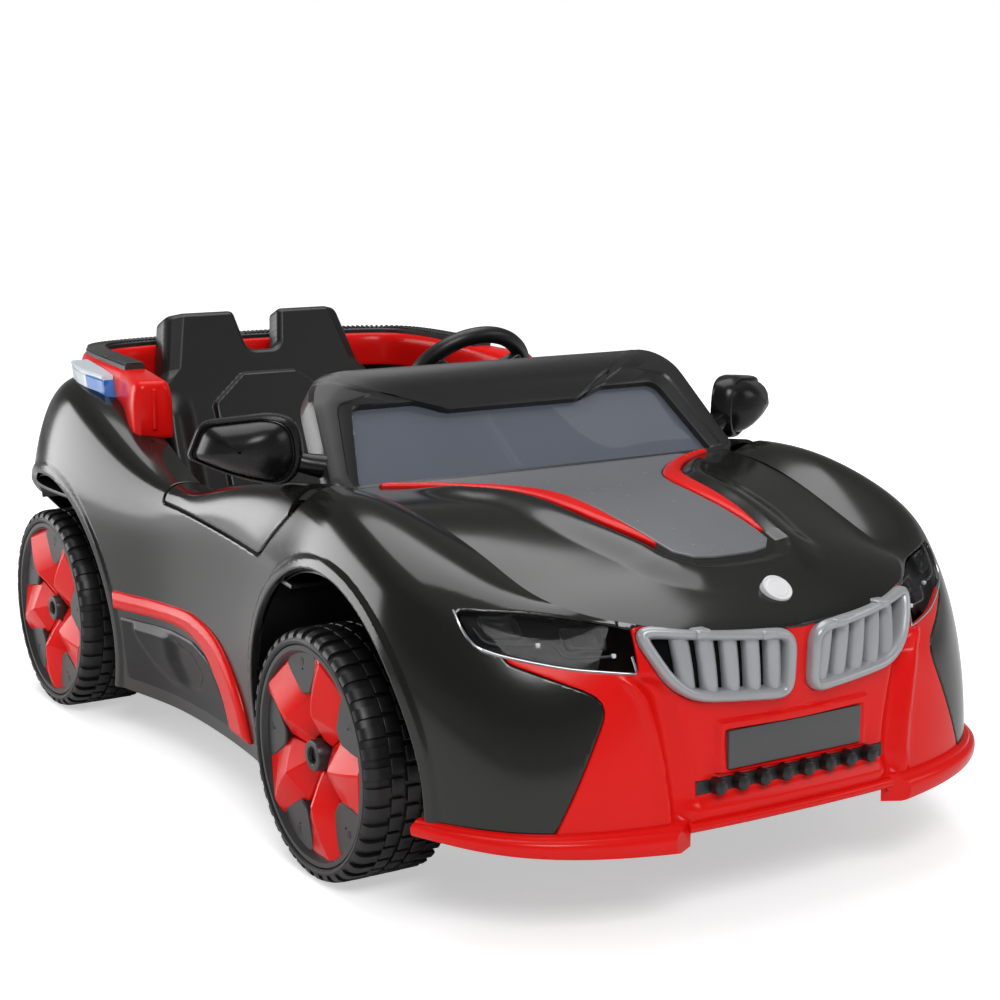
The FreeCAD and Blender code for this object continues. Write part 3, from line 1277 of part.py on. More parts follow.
# Wheels, knuckles and nuts on each side; the arms of each star stand at the angle seen.
STAR_ARMS = 5
STAR_TURN = {"front": 22, "rear": 44}
for side, sign in (("left", 1), ("right", -1)):
    def at(along, turn=sign):
        """A place along the wheel, measured inwards from its outer face."""
        return "%d*(wheel_face - (%s))" % (turn, along)

    def span(near, far, turn=sign):
        """The lower x of a stretch between two such places."""
        return at(far) if turn > 0 else at(near)

    king = "%d*kingpin_x" % sign
    lug_low = "wheel_radius - eye_half - lug_gap - lug"
    lug_top = "wheel_radius + eye_half + lug_gap"
    web_x = "kingpin_x + eye_radius + lug_gap"
    web_low = "%d*(%s)" % (sign, web_x) if sign > 0 else "-(%s) - lug" % web_x
    stub_start = web_low if sign > 0 else at("hub_front - nut_length")
    knuckle_parts = [
        rod("king_pin_" + side, (king, "front_axle_y", lug_low), "kingpin_radius",
            "eye_half*2 + lug*2 + lug_gap*2"),
        rod("lug_low_" + side, (king, "front_axle_y", lug_low), "eye_radius", "lug"),
        rod("lug_top_" + side, (king, "front_axle_y", lug_top), "eye_radius", "lug"),
        block("lug_web_" + side, (web_low, "front_axle_y - eye_radius*0.8", lug_low),
              ("lug", "eye_radius*1.6", "eye_half*2 + lug*2 + lug_gap*2")),
        rod("stub_" + side, (stub_start, "front_axle_y", "wheel_radius"), "axle_radius",
            "wheel_face - hub_front + nut_length - (%s)" % web_x, ALONG_X),
        block("steer_arm_" + side, (king + " - eye_radius*0.5", "front_axle_y", lug_top),
              ("eye_radius", "knuckle_arm + eye_radius*0.5", "lug")),
        rod("arm_pin_" + side, (king, tie_y, "tie_z - tie_eye_half - arm_pin_reach"), "tie_pin",
            lug_top + " + lug - tie_z + tie_eye_half + arm_pin_reach"),
    ]
    for word, low in (("low", lug_low), ("top", lug_top)):
        bridge_x = king if sign > 0 else "-(%s) - lug*0.5" % web_x
        knuckle_parts.append(block(
            "lug_bridge_%s_%s" % (word, side), (bridge_x, "front_axle_y - eye_radius*0.8", low),
            ("eye_radius + lug_gap + lug*0.5", "eye_radius*1.6", "lug")))
    joined("knuckle_" + side, knuckle_parts)
    nut_start = span("hub_front - nut_length", "hub_front - lug_gap")
    nut_blank = rod(
        "nut_blank_" + side, (nut_start, "front_axle_y", "wheel_radius"),
        "nut_radius", "nut_length - lug_gap", ALONG_X)
    nut_bore = rod(
        "nut_bore_" + side, (nut_start, "front_axle_y", "wheel_radius"),
        "axle_radius + running_gap", "nut_length", ALONG_X)
    cut_from("axle_nut_" + side, nut_blank, [nut_bore])

    for end in ("front", "rear"):
        name = end + "_" + side
        centre = ("0", end + "_axle_y", "wheel_radius")
        tyre_profile = [
            ("0", "rim_radius"), ("0", "wheel_radius - shoulder_chamfer"),
            ("shoulder_chamfer", "wheel_radius"), ("tyre_width - shoulder_chamfer", "wheel_radius"),
            ("tyre_width", "wheel_radius - shoulder_chamfer"), ("tyre_width", "barrel_radius"),
            ("web_back", "barrel_radius"), ("web_back", "hub_radius"),
            (end + "_hub_back", "hub_radius"), (end + "_hub_back", "axle_radius + running_gap"),
            ("hub_front", "axle_radius + running_gap"), ("hub_front", "hub_radius"),
            ("web_front", "hub_radius"), ("web_front", "rim_radius"),
        ]
        turned("tyre_" + name, [(at(a), r) for a, r in tyre_profile], centre)
        cover_profile = [
            ("cover_lip", "rim_radius - seat_gap"), ("cover_lip", "rim_radius - seat_gap - cover_rim"),
            ("cover_face", "rim_radius - cover_rim - cover_slope"),
            ("cover_face", "cover_boss_radius + boss_flare"),
            ("cover_boss", "cover_boss_radius"), ("cover_boss", "0"), ("cover_boss + cover_skin", "0"),
            ("cover_boss + cover_skin", "cover_boss_radius - cover_skin"),
            ("cover_face + cover_skin", "cover_boss_radius + boss_flare - boss_wall"),
            ("cover_face + cover_skin", "rim_radius - cover_slope - cover_skin"),
            ("web_front - seat_gap", "rim_radius - cover_slope - cover_skin/2"),
            ("web_front - seat_gap", "rim_radius - seat_gap"),
        ]
        turned("rim_cover_" + name, [(at(a), r) for a, r in cover_profile], centre)
        star = []
        for number in range(STAR_ARMS):
            angle = math.radians(90 + STAR_TURN[end] + 360 / STAR_ARMS * number)
            across = (math.cos(angle), math.sin(angle))
            aside = (-across[1], across[0])
            for share, way in (("inner", -1), ("outer", -1), ("outer", 1), ("inner", 1)):
                star.append(tuple(
                    "spoke_%s*(%.6f) + spoke_half_%s*(%.6f)" % (share, across[k], share, way * aside[k])
                    for k in (0, 1)))
        star_x = span("spoke_front", "cover_face - seat_gap/3")
        star_pad = padded(
            "star_pad_" + name, "YZ", star, "cover_face - seat_gap/3 - spoke_front",
            (star_x, end + "_axle_y", "wheel_radius"))
        star_bore = rod(
            "star_bore_" + name, (star_x + " - 1", end + "_axle_y", "wheel_radius"),
            "cover_boss_radius + boss_flare + spoke_clear", "cover_face", ALONG_X)
        cut_from("spokes_" + name, star_pad, [star_bore])

# Rear axle with its end nuts, gearboxes, motors and battery.
axle_half = "(wheel_face - hub_front + nut_length)"
axle_rod = rod(
    "axle_rod", ("-" + axle_half, "rear_axle_y", "wheel_radius"), "axle_radius", axle_half + "*2", ALONG_X)
axle_nuts = []
for number, start in enumerate(("-" + axle_half, "wheel_face - hub_front + lug_gap")):
    axle_nuts.append(rod(
        "rear_nut_%d" % number, (start, "rear_axle_y", "wheel_radius"),
        "nut_radius", "nut_length - lug_gap", ALONG_X))
joined("rear_axle", [axle_rod] + axle_nuts)
boxes = []
motors = []
for number, sign in enumerate((1, -1)):
    box_start = "tub_rear_half + seat_gap" if sign > 0 else "-gearbox_outer_x"
    box = block(
        "gearbox_block_%d" % number, (box_start, "gearbox_front_y", "gearbox_low_z"),
        ("gearbox_outer_x - tub_rear_half - seat_gap", "gearbox_back_y - gearbox_front_y",
         "gearbox_top_z - gearbox_low_z"))
    box_bore = rod(
        "gearbox_bore_%d" % number,
        ("%d*tub_rear_half*1.5 - tub_rear_half" % sign, "rear_axle_y", "wheel_radius"),
        "axle_radius + running_gap", "tub_rear_half*2", ALONG_X)
    boxes.append(cut_from("gearbox_%d" % number, box, [box_bore]))
    motor_start = "tub_rear_half - motor_length" if sign > 0 else "-tub_rear_half"
    motors.append(rod(
        "motor_%d" % number, (motor_start, "motor_y", "motor_z"), "motor_radius", "motor_length", ALONG_X))
block(
    "battery", ("-battery_wide/2", "battery_y", "floor_z + floor"),
    ("battery_wide", "battery_deep", "battery_tall"))
for label, items in (("gearboxes", boxes), ("motors", motors)):
    group = doc.addObject("Part::Compound", label)
    group.Links = items
doc.recompute()

SINGLE = [
    "chassis_tub", "rear_bumper", "front_bumper", "hood", "hood_insert", "hood_stripes",
    "intake_studs", "number_plate", "badge", "windscreen_frame", "windscreen", "side_vents",
    "rear_surround", "surround_trim", "seat", "dashboard", "battery", "gearboxes", "motors",
    "rear_axle", "front_axle", "steering_wheel", "steering_shaft", "horn_button", "tie_rod",
    "pedal", "direction_rocker",
]
PAIRED = [
    "body_side", "grille", "headlight", "headlight_lens", "mirror", "side_blade", "tail_lamp",
    "door", "knuckle", "axle_nut",
]
ON_EACH_WHEEL = ["tyre", "rim_cover", "spokes"]
NODES = list(SINGLE)
for side in ("left", "right"):
    NODES += [name + "_" + side for name in PAIRED]
    for end in ("front", "rear"):
        NODES += ["%s_%s_%s" % (name, end, side) for name in ON_EACH_WHEEL]

for item in doc.Objects:
    if "Invalid" in item.State or "Error" in item.State:
        raise RuntimeError("%s did not compute" % item.Label)
os.makedirs("parts", exist_ok=True)
for node in NODES:
    item = doc.getObjectsByLabel(node)[0]
    if item.Shape.isNull() or not item.Shape.isValid():
        raise RuntimeError("%s has no valid shape" % node)
    item.Shape.exportStep(os.path.join("parts", node + ".step"))
    print("%-24s %d solids %9.0f mm3" % (node, len(item.Shape.Solids), item.Shape.Volume))
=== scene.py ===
import math

import bmesh
import bpy
import numpy as np
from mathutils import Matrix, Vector


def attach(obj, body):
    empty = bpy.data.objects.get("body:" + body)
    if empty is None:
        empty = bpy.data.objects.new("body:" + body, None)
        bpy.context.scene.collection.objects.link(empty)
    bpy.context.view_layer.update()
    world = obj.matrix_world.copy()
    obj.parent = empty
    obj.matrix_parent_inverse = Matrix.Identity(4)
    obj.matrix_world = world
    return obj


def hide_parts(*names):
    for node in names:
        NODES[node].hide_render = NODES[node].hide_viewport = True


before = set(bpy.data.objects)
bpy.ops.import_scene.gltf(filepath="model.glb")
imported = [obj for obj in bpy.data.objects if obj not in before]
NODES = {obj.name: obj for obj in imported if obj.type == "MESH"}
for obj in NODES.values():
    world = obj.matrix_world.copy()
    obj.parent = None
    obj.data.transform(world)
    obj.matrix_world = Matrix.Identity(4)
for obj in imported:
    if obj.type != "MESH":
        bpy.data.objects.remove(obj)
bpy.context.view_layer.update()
MM = 0.001
scene = bpy.context.scene


# Colours and surfaces

def socket(group, name, kind, way, value=None):
    item = group.interface.new_socket(name=name, in_out=way, socket_type=kind)
    if value is not None:
        item.default_value = value
    return item


def filled(item, **inputs):
    """A node with values in its inputs; a blank in an input's name is written as an underscore."""
    for name, value in inputs.items():
        item.inputs[name.replace("_", " ")].default_value = value
    return item


def node(tree, kind, **inputs):
    return filled(tree.nodes.new(kind), **inputs)


def calculated(tree, operation, one, two):
    """The result of one sum on two values of a node tree."""
    item = tree.nodes.new("ShaderNodeMath")
    item.operation = operation
    tree.links.new(one, item.inputs[0])
    tree.links.new(two, item.inputs[1])
    return item.outputs["Value"]


def ranged(tree, value, **limits):
    item = node(tree, "ShaderNodeMapRange", **limits)
    tree.links.new(value, item.inputs["Value"])
    return item.outputs["Result"]


def noise(tree, place, scale, detail):
    item = node(tree, "ShaderNodeTexNoise", Scale=scale, Detail=detail)
    tree.links.new(place, item.inputs["Vector"])
    return item.outputs["Fac"]


def tinted(tree, share, color, tint):
    """A colour that goes over to a tint where the share is high."""
    item = tree.nodes.new("ShaderNodeMix")
    item.data_type = "RGBA"
    item.inputs[7].default_value = (*tint, 1)
    tree.links.new(share, item.inputs[0])
    tree.links.new(color, item.inputs[6])
    return item.outputs[2]


DUST_TINT, WORN_TINT = (0.45, 0.44, 0.42), (0.5, 0.5, 0.5)


def moulded_group():
    """Uneven colour, uneven gloss and fine grain of moulded plastic."""
    group = bpy.data.node_groups.new("moulded_surface", "ShaderNodeTree")
    socket(group, "Color", "NodeSocketColor", "INPUT", (0.5, 0.5, 0.5, 1))
    for name, value in (("Roughness", 0.3), ("Grain Scale", 900.0), ("Grain", 0.02), ("Dust", 0.04)):
        socket(group, name, "NodeSocketFloat", "INPUT", value)
    socket(group, "Color", "NodeSocketColor", "OUTPUT")
    socket(group, "Roughness", "NodeSocketFloat", "OUTPUT")
    socket(group, "Normal", "NodeSocketVector", "OUTPUT")
    link = group.links.new
    given = group.nodes.new("NodeGroupInput").outputs
    result = group.nodes.new("NodeGroupOutput").inputs
    place = group.nodes.new("ShaderNodeTexCoord").outputs["Object"]
    tone = group.nodes.new("ShaderNodeVectorMath")
    tone.operation = "SCALE"
    link(given["Color"], tone.inputs[0])
    link(ranged(group, noise(group, place, 9.0, 4.0), To_Min=0.92, To_Max=1.08), tone.inputs["Scale"])
    # dust settles on faces that look up
    parts = group.nodes.new("ShaderNodeSeparateXYZ")
    link(group.nodes.new("ShaderNodeNewGeometry").outputs["Normal"], parts.inputs["Vector"])
    facing = ranged(group, parts.outputs["Z"], From_Min=0.5, From_Max=1.0)
    speck = noise(group, place, 140.0, 6.0)
    dusty = calculated(group, "MULTIPLY", calculated(group, "MULTIPLY", facing, speck), given["Dust"])
    link(tinted(group, dusty, tone.outputs["Vector"], DUST_TINT), result["Color"])
    rub = ranged(group, speck, To_Min=0.85, To_Max=1.2)
    link(calculated(group, "MULTIPLY", given["Roughness"], rub), result["Roughness"])
    grain = node(group, "ShaderNodeTexNoise", Detail=2.0)
    link(place, grain.inputs["Vector"])
    link(given["Grain Scale"], grain.inputs["Scale"])
    bump = node(group, "ShaderNodeBump", Distance=0.001)
    link(given["Grain"], bump.inputs["Strength"])
    link(grain.outputs["Fac"], bump.inputs["Height"])
    link(bump.outputs["Normal"], result["Normal"])
    return group


def wear_group():
    """Lighter paint where an outside edge is handled."""
    group = bpy.data.node_groups.new("edge_wear", "ShaderNodeTree")
    socket(group, "Color", "NodeSocketColor", "INPUT", (0.5, 0.5, 0.5, 1))
    socket(group, "Amount", "NodeSocketFloat", "INPUT", 0.2)
    socket(group, "Color", "NodeSocketColor", "OUTPUT")
    given = group.nodes.new("NodeGroupInput").outputs
    result = group.nodes.new("NodeGroupOutput").inputs
    pointed = group.nodes.new("ShaderNodeNewGeometry").outputs["Pointiness"]
    edge = ranged(group, pointed, From_Min=0.53, From_Max=0.62)
    patch = noise(group, group.nodes.new("ShaderNodeTexCoord").outputs["Object"], 60.0, 5.0)
    worn = calculated(group, "MULTIPLY", calculated(group, "MULTIPLY", edge, patch), given["Amount"])
    group.links.new(tinted(group, worn, given["Color"], WORN_TINT), result["Color"])
    return group


MOULDED = moulded_group()
WEAR = wear_group()


def new_material(name):
    material = bpy.data.materials.new(name)
    material.use_nodes = True
    return material, material.node_tree, material.node_tree.nodes["Principled BSDF"]


def grouped(tree, group, **inputs):
    item = tree.nodes.new("ShaderNodeGroup")
    item.node_tree = group
    return filled(item, **inputs)


def surface(name, color, roughness, grain=0.0, grain_scale=900.0, dust=0.0, wear=0.0, **extra):
    """An opaque plastic or metal with grain, dust and worn edges."""
    material, tree, shader = new_material(name)
    worn = grouped(tree, WEAR, Color=(*color, 1), Amount=wear)
    body = grouped(tree, MOULDED, Roughness=roughness, Grain=grain, Grain_Scale=grain_scale, Dust=dust)
    tree.links.new(worn.outputs["Color"], body.inputs["Color"])
    for result, target in (("Color", "Base Color"), ("Roughness", "Roughness"), ("Normal", "Normal")):
        tree.links.new(body.outputs[result], shader.inputs[target])
    filled(shader, **extra)
    return material


def clear_surface(name, color, share, roughness):
    """Tinted sheet that lets part of the light straight through."""
    material, tree, shader = new_material(name)
    body = grouped(tree, MOULDED, Color=(*color, 1), Roughness=roughness, Grain=0.0, Dust=0.02)
    tree.links.new(body.outputs["Color"], shader.inputs["Base Color"])
    tree.links.new(body.outputs["Roughness"], shader.inputs["Roughness"])
    filled(shader, Alpha=share)
    return material


LOOK = {
    "body": surface("body_gloss", (0.010, 0.010, 0.0088), 0.15, grain=0.003, IOR=1.5),
    "red": surface("red_gloss", (0.78, 0.008, 0.006), 0.22, grain=0.004, IOR=1.3),
    "hood_grey": surface("hood_grey", (0.17, 0.175, 0.185), 0.25, grain=0.004),
    "pod": surface("pod_satin", (0.005, 0.005, 0.005), 0.26, IOR=1.4),
    "black": surface("black_satin", (0.007, 0.007, 0.007), 0.36, grain=0.04, dust=0.015, wear=0.1),
    "vent": surface("vent_gloss", (0.003, 0.003, 0.003), 0.24, grain=0.01, IOR=1.3),
    "frame": surface("frame_satin", (0.016, 0.016, 0.017), 0.3, grain=0.04, dust=0.01, wear=0.1),
    "seat": surface(
        "seat_satin", (0.006, 0.006, 0.006), 0.36, grain=0.06, grain_scale=1400.0, dust=0.02, wear=0.1),
    "tyre": surface("tyre_black", (0.006, 0.006, 0.006), 0.4, grain=0.04, dust=0.01, wear=0.05),
    "rim": surface("rim_grey", (0.022, 0.022, 0.023), 0.32, grain=0.01),
    "silver": surface("grille_silver", (0.40, 0.41, 0.43), 0.3, Metallic=0.25),
    "plate": surface("plate_grey", (0.075, 0.077, 0.08), 0.45, grain=0.03, dust=0.03, wear=0.1),
    "badge": surface("badge_white", (0.78, 0.78, 0.8), 0.25, grain=0.01, dust=0.03, wear=0.02),
    "lamp_black": surface("lamp_black", (0.002, 0.002, 0.0025), 0.3, IOR=1.2),
    "lamp_grey": surface("lamp_grey", (0.012, 0.0125, 0.013), 0.28, IOR=1.3),
    "chrome": surface("chrome_trim", (0.62, 0.63, 0.65), 0.16, dust=0.03, Metallic=0.9),
    "guide": surface("light_guide", (0.06, 0.065, 0.07), 0.2, IOR=1.3),
    "steel": surface("plated_steel", (0.42, 0.42, 0.43), 0.34, grain=0.03, dust=0.03, wear=0.2, Metallic=1.0),
    "blue_lens": surface("blue_lens", (0.008, 0.16, 0.55), 0.12, dust=0.03),
    "white_lens": surface("white_lens", (0.66, 0.72, 0.78), 0.14, dust=0.03),
    "mirror_glass": surface("mirror_glass", (0.75, 0.77, 0.8), 0.04, dust=0.03, Metallic=1.0),
    "lens": clear_surface("lens_clear", (0.01, 0.01, 0.011), 0.10, 0.04),
    "screen": clear_surface("screen_tint", (0.12, 0.135, 0.17), 0.86, 0.08),
}


# Meshes

X_WAY, Y_WAY, Z_WAY = np.eye(3)


def shaded(mesh, sharp):
    """Smooth faces; edges that turn by more than so many degrees stay sharp."""
    mesh.polygons.foreach_set("use_smooth", [True] * len(mesh.polygons))
    mesh.set_sharp_from_angle(angle=math.radians(sharp))


def raw_mesh(name, points, faces):
    """A mesh from points in millimetres."""
    mesh = bpy.data.meshes.new(name)
    mesh.from_pydata((np.asarray(points, float) * MM).tolist(), [], [list(map(int, f)) for f in faces])
    return mesh


def in_scene(name, data):
    item = bpy.data.objects.new(name, data)
    scene.collection.objects.link(item)
    return item


def placed(item, body, stands_for):
    """A finished piece given its body and the nodes that it stands for."""
    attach(item, body)
    if stands_for:
        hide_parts(*stands_for)
    return item


def piece(name, points, faces, look, body="car", slot=None, stands_for=(), sharp=35):
    """A mesh that rides on one body."""
    mesh = raw_mesh(name, points, faces)
    mesh.validate()
    shaded(mesh, sharp)
    item = in_scene(name, mesh)
    mesh.materials.append(LOOK[look])
    return placed(item, body, stands_for)


def backward(faces):
    """The same faces seen from the other side."""
    return [list(f)[::-1] for f in faces]


def flipped(points, faces):
    """The mirror image across the middle of the car."""
    points = np.array(points, float)
    points[:, 0] *= -1
    return points, backward(faces)


def together(*parts):
    points, faces, start = [], [], 0
    for p, f in parts:
        points.append(np.asarray(p, float))
        faces += [[i + start for i in face] for face in f]
        start += len(p)
    return np.concatenate(points), faces


def whole(half):
    """A half mesh with its mirror image."""
    return together(half, flipped(*half))


def both_sides(name, mesh, look, slot, stands_for=None):
    """One piece on the left of the car and its mirror image on the right."""
    for word, shape in (("left", mesh), ("right", flipped(*mesh))):
        nodes = [stands_for + "_" + word] if stands_for else ()
        piece(name + "_" + word, *shape, look, "car", slot, nodes)


def lattice(rows, cols, round_rows=False, round_cols=False, back=False):
    """Faces over points laid row by row; a round lattice also joins its last line to its first."""
    faces = []
    for r in range(rows if round_rows else rows - 1):
        here, there = r * cols, (r + 1) % rows * cols
        for c in range(cols if round_cols else cols - 1):
            beside = (c + 1) % cols
            face = [here + c, here + beside, there + beside, there + c]
            faces.append([face[0], *face[:0:-1]] if back else face)
    return faces


def end_caps(rows, cols):
    """The first row forwards and the last row backwards, as two closing faces."""
    return [list(range(cols)), [(rows - 1) * cols + k for k in range(cols)][::-1]]


def run_along(line):
    """How far each point of a line is from its start, measured along it."""
    return np.concatenate([[0], np.cumsum(np.linalg.norm(np.diff(line, axis=0), axis=1))])


def even_lift(height):
    """A relief that is the same all over a panel."""
    return lambda p: np.full(len(p), float(height))


def within(view, shape, inset=0):
    """A field that is positive inside an outline drawn in one view."""
    return lambda p: inside(view(p), shape) - inset


def domed(view, shape, edge, crown, width):
    """A relief that curves up from an outline over so many millimetres."""
    return lambda p: edge + crown * np.sqrt(np.clip(inside(view(p), shape) / width, 0, 1))


def slope_ways(angle):
    """Up a slope that rises to the back by an angle, and out of it."""
    return np.array([0, math.cos(angle), math.sin(angle)]), np.array([0, -math.sin(angle), math.cos(angle)])


def basis(count, share):
    """Weights of a clamped even cubic curve with that many poles."""
    spans = count - 3
    x = np.minimum(np.clip(np.asarray(share, float), 0, 1) * spans, spans - 1e-9)[:, None]
    knots = np.concatenate(([0] * 3, np.arange(spans + 1), [spans] * 3)).astype(float)
    weights = ((x >= knots[:-1]) & (x < knots[1:])).astype(float)
    for degree in (1, 2, 3):
        n = len(knots) - 1 - degree
        rise = knots[degree:degree + n] - knots[:n]
        fall = knots[degree + 1:degree + 1 + n] - knots[1:1 + n]
        up = np.where(rise > 0, (x - knots[:n]) / np.where(rise > 0, rise, 1), 0)
        down = np.where(fall > 0, (knots[degree + 1:degree + 1 + n] - x) / np.where(fall > 0, fall, 1), 0)
        weights = up * weights[:, :n] + down * weights[:, 1:n + 1]
    return weights


class Skin:
    """A smooth surface over a cage of poles; u runs along the columns, v up the rows."""

    def __init__(self, poles):
        self.poles = np.array(poles, float)

    def at(self, u, v):
        n, m, _ = self.poles.shape
        across = basis(n, u) @ self.poles.reshape(n, m * 3)
        return np.einsum("kj,kjc->kc", basis(m, v), across.reshape(-1, m, 3))

    def normal(self, u, v):
        h = 2e-3
        along = self.at(np.clip(u + h, 0, 1), v) - self.at(np.clip(u - h, 0, 1), v)
        up = self.at(u, np.clip(v + h, 0, 1)) - self.at(u, np.clip(v - h, 0, 1))
        n = np.cross(along, up)
        return n / np.maximum(np.linalg.norm(n, axis=1), 1e-9)[:, None]

    def find(self, axes, targets, span=(0, 1, 0, 1)):
        """The u and v whose points have the given values on two axes."""
        targets = np.asarray(targets, float)
        us, vs = np.linspace(span[0], span[1], 120), np.linspace(span[2], span[3], 60)
        u, v = np.meshgrid(us, vs, indexing="ij")
        u, v = u.ravel(), v.ravel()
        flat = self.at(u, v)[:, axes]
        nearest = [int(np.argmin(((flat - t) ** 2).sum(1))) for t in targets]
        u, v = u[nearest], v[nearest]
        h = 1e-3
        for _ in range(6):
            here = self.at(u, v)[:, axes]
            du = (self.at(u + h, v)[:, axes] - self.at(u - h, v)[:, axes]) / (2 * h)
            dv = (self.at(u, v + h)[:, axes] - self.at(u, v - h)[:, axes]) / (2 * h)
            miss = targets - here
            det = du[:, 0] * dv[:, 1] - du[:, 1] * dv[:, 0]
            det = np.where(np.abs(det) < 1e-6, 1e-6, det)
            step_u = (miss[:, 0] * dv[:, 1] - miss[:, 1] * dv[:, 0]) / det
            step_v = (du[:, 0] * miss[:, 1] - du[:, 1] * miss[:, 0]) / det
            u = np.clip(u + np.clip(step_u, -0.05, 0.05), span[0], span[1])
            v = np.clip(v + np.clip(step_v, -0.05, 0.05), span[2], span[3])
        return u, v


class Flat:
    """A plane patch used like a skin; u and v are millimetres across and up from its origin."""

    def __init__(self, origin, across, up):
        self.origin, self.across, self.up = (np.array(a, float) for a in (origin, across, up))

    def at(self, u, v):
        return self.origin + np.outer(u, self.across) + np.outer(v, self.up)

    def normal(self, u, v):
        n = np.cross(self.across, self.up)
        return np.tile(n / np.linalg.norm(n), (len(u), 1))

    def flat(self, p):
        """How far points lie across the car and up the plane."""
        return np.stack([p[:, 0], (p - self.origin) @ self.up], 1)


def rounded(outline, radius, steps=5):
    """A closed outline with every corner turned into a short curve."""
    pts = [np.array(p, float) for p in outline]
    result = []
    for i, corner in enumerate(pts):
        r = radius[i] if hasattr(radius, "__len__") else radius
        before, after = pts[i - 1] - corner, pts[(i + 1) % len(pts)] - corner
        one = before / np.linalg.norm(before) * min(r, np.linalg.norm(before) * 0.48)
        two = after / np.linalg.norm(after) * min(r, np.linalg.norm(after) * 0.48)
        for t in np.linspace(0, 1, steps):
            result.append(corner + one * (1 - t) ** 2 + two * t ** 2)
    return np.array(result)


def inside(flat, outline):
    """Signed distance to a closed outline, positive within it."""
    flat = np.asarray(flat, float)
    outline = np.asarray(outline, float)
    best = np.full(len(flat), 1e18)
    odd = np.zeros(len(flat), bool)
    for a, b in zip(outline, np.roll(outline, -1, axis=0)):
        edge = b - a
        t = np.clip(((flat - a) @ edge) / max(edge @ edge, 1e-12), 0, 1)
        best = np.minimum(best, ((flat - a - t[:, None] * edge) ** 2).sum(1))
        crosses = (a[1] > flat[:, 1]) != (b[1] > flat[:, 1])
        if abs(edge[1]) > 1e-12:
            odd ^= crosses & (flat[:, 0] < a[0] + (flat[:, 1] - a[1]) / edge[1] * edge[0])
    return np.where(odd, 1, -1) * np.sqrt(best)


def sliced(uv, f, tris, level):
    """Every triangle that the level line crosses is split along it."""
    s = f - level
    s = np.where(np.abs(s) < 1e-7, 1e-7, s)
    above = s > 0
    count = above[tris].sum(1)
    uncut = tris[(count == 0) | (count == 3)]
    cut = tris[(count == 1) | (count == 2)]
    if len(cut) == 0:
        return uv, f, tris
    flags = above[cut]
    lone = np.where(flags.sum(1) == 1, flags.argmax(1), (~flags).argmax(1))
    rows = np.arange(len(cut))
    a, b, c = cut[rows, lone], cut[rows, (lone + 1) % 3], cut[rows, (lone + 2) % 3]
    edges = np.sort(np.concatenate([np.stack([a, b], 1), np.stack([a, c], 1)]), axis=1)
    single, back = np.unique(edges, axis=0, return_inverse=True)
    back = back.ravel()
    w = s[single[:, 0]] / (s[single[:, 0]] - s[single[:, 1]])
    fresh = uv[single[:, 0]] + (uv[single[:, 1]] - uv[single[:, 0]]) * w[:, None]
    ab, ac = len(uv) + back[:len(cut)], len(uv) + back[len(cut):]
    split = np.concatenate([np.stack([a, ab, ac], 1), np.stack([ab, b, c], 1), np.stack([ab, c, ac], 1)])
    f = np.concatenate([f, np.full(len(fresh), level)])
    return np.concatenate([uv, fresh]), f, np.concatenate([uncut, split])


EDGE_MARGIN = 12


def panel(skin, span, steps, field, radius=1.5, depth=4.0, relief=None, lines=()):
    """A moulded panel: the part of a skin where the field is positive, with rounded edges and thickness.
    The field takes points and returns millimetres; relief does the same and lifts the face."""
    us, vs = np.linspace(span[0], span[1], steps[0] + 1), np.linspace(span[2], span[3], steps[1] + 1)
    u, v = np.meshgrid(us, vs, indexing="ij")
    uv = np.stack([u.ravel(), v.ravel()], 1)
    corner = (np.arange(steps[0])[:, None] * (steps[1] + 1) + np.arange(steps[1])[None, :]).ravel()
    one, two, three, four = corner, corner + steps[1] + 1, corner + steps[1] + 2, corner + 1
    tris = np.concatenate([np.stack([one, two, three], 1), np.stack([one, three, four], 1)])
    f = field(skin.at(uv[:, 0], uv[:, 1]))
    tris = tris[f[tris].max(1) > -EDGE_MARGIN]
    for level in (0.0, radius * 0.3, radius, *lines):
        uv, f, tris = sliced(uv, f, tris, level)
    tris = tris[f[tris].mean(1) > 1e-6]
    used, back = np.unique(tris, return_inverse=True)
    tris = back.reshape(-1, 3)
    uv, f = uv[used], np.maximum(f[used], 0)
    base, normal = skin.at(uv[:, 0], uv[:, 1]), skin.normal(uv[:, 0], uv[:, 1])
    lift = relief(base) if relief else np.zeros(len(base))
    d = np.minimum(f, radius)
    drop = radius - np.sqrt(np.maximum(radius ** 2 - (radius - d) ** 2, 0))
    outer = base + normal * (lift - drop)[:, None]
    inner = base + normal * (np.minimum(lift, 0) - depth)[:, None]
    n = len(base)
    pairs = np.concatenate([tris[:, [0, 1]], tris[:, [1, 2]], tris[:, [2, 0]]])
    key = np.sort(pairs, axis=1)
    _, first, times = np.unique(key, axis=0, return_index=True, return_counts=True)
    rim = pairs[first[times == 1]]
    walls = np.stack([rim[:, 1], rim[:, 0], rim[:, 0] + n, rim[:, 1] + n], 1)
    faces = tris.tolist() + (tris[:, ::-1] + n).tolist() + walls.tolist()
    return np.concatenate([outer, inner]), faces


def ring_moulding(outer, inner, section, lay):
    """A frame between two matching loops; section gives (share from outer to inner, height) pairs."""
    points = [(*(a + (b - a) * share), height) for a, b in zip(outer, inner) for share, height in section]
    return lay(np.array(points)), lattice(len(outer), len(section), True, True, back=True)


def drawn_in(loop, by):
    """A closed loop moved inwards along its own normals; it runs counter-clockwise."""
    loop = np.asarray(loop, float)
    along = np.roll(loop, -1, axis=0) - np.roll(loop, 1, axis=0)
    along /= np.maximum(np.linalg.norm(along, axis=1), 1e-9)[:, None]
    return loop + np.stack([-along[:, 1], along[:, 0]], 1) * by


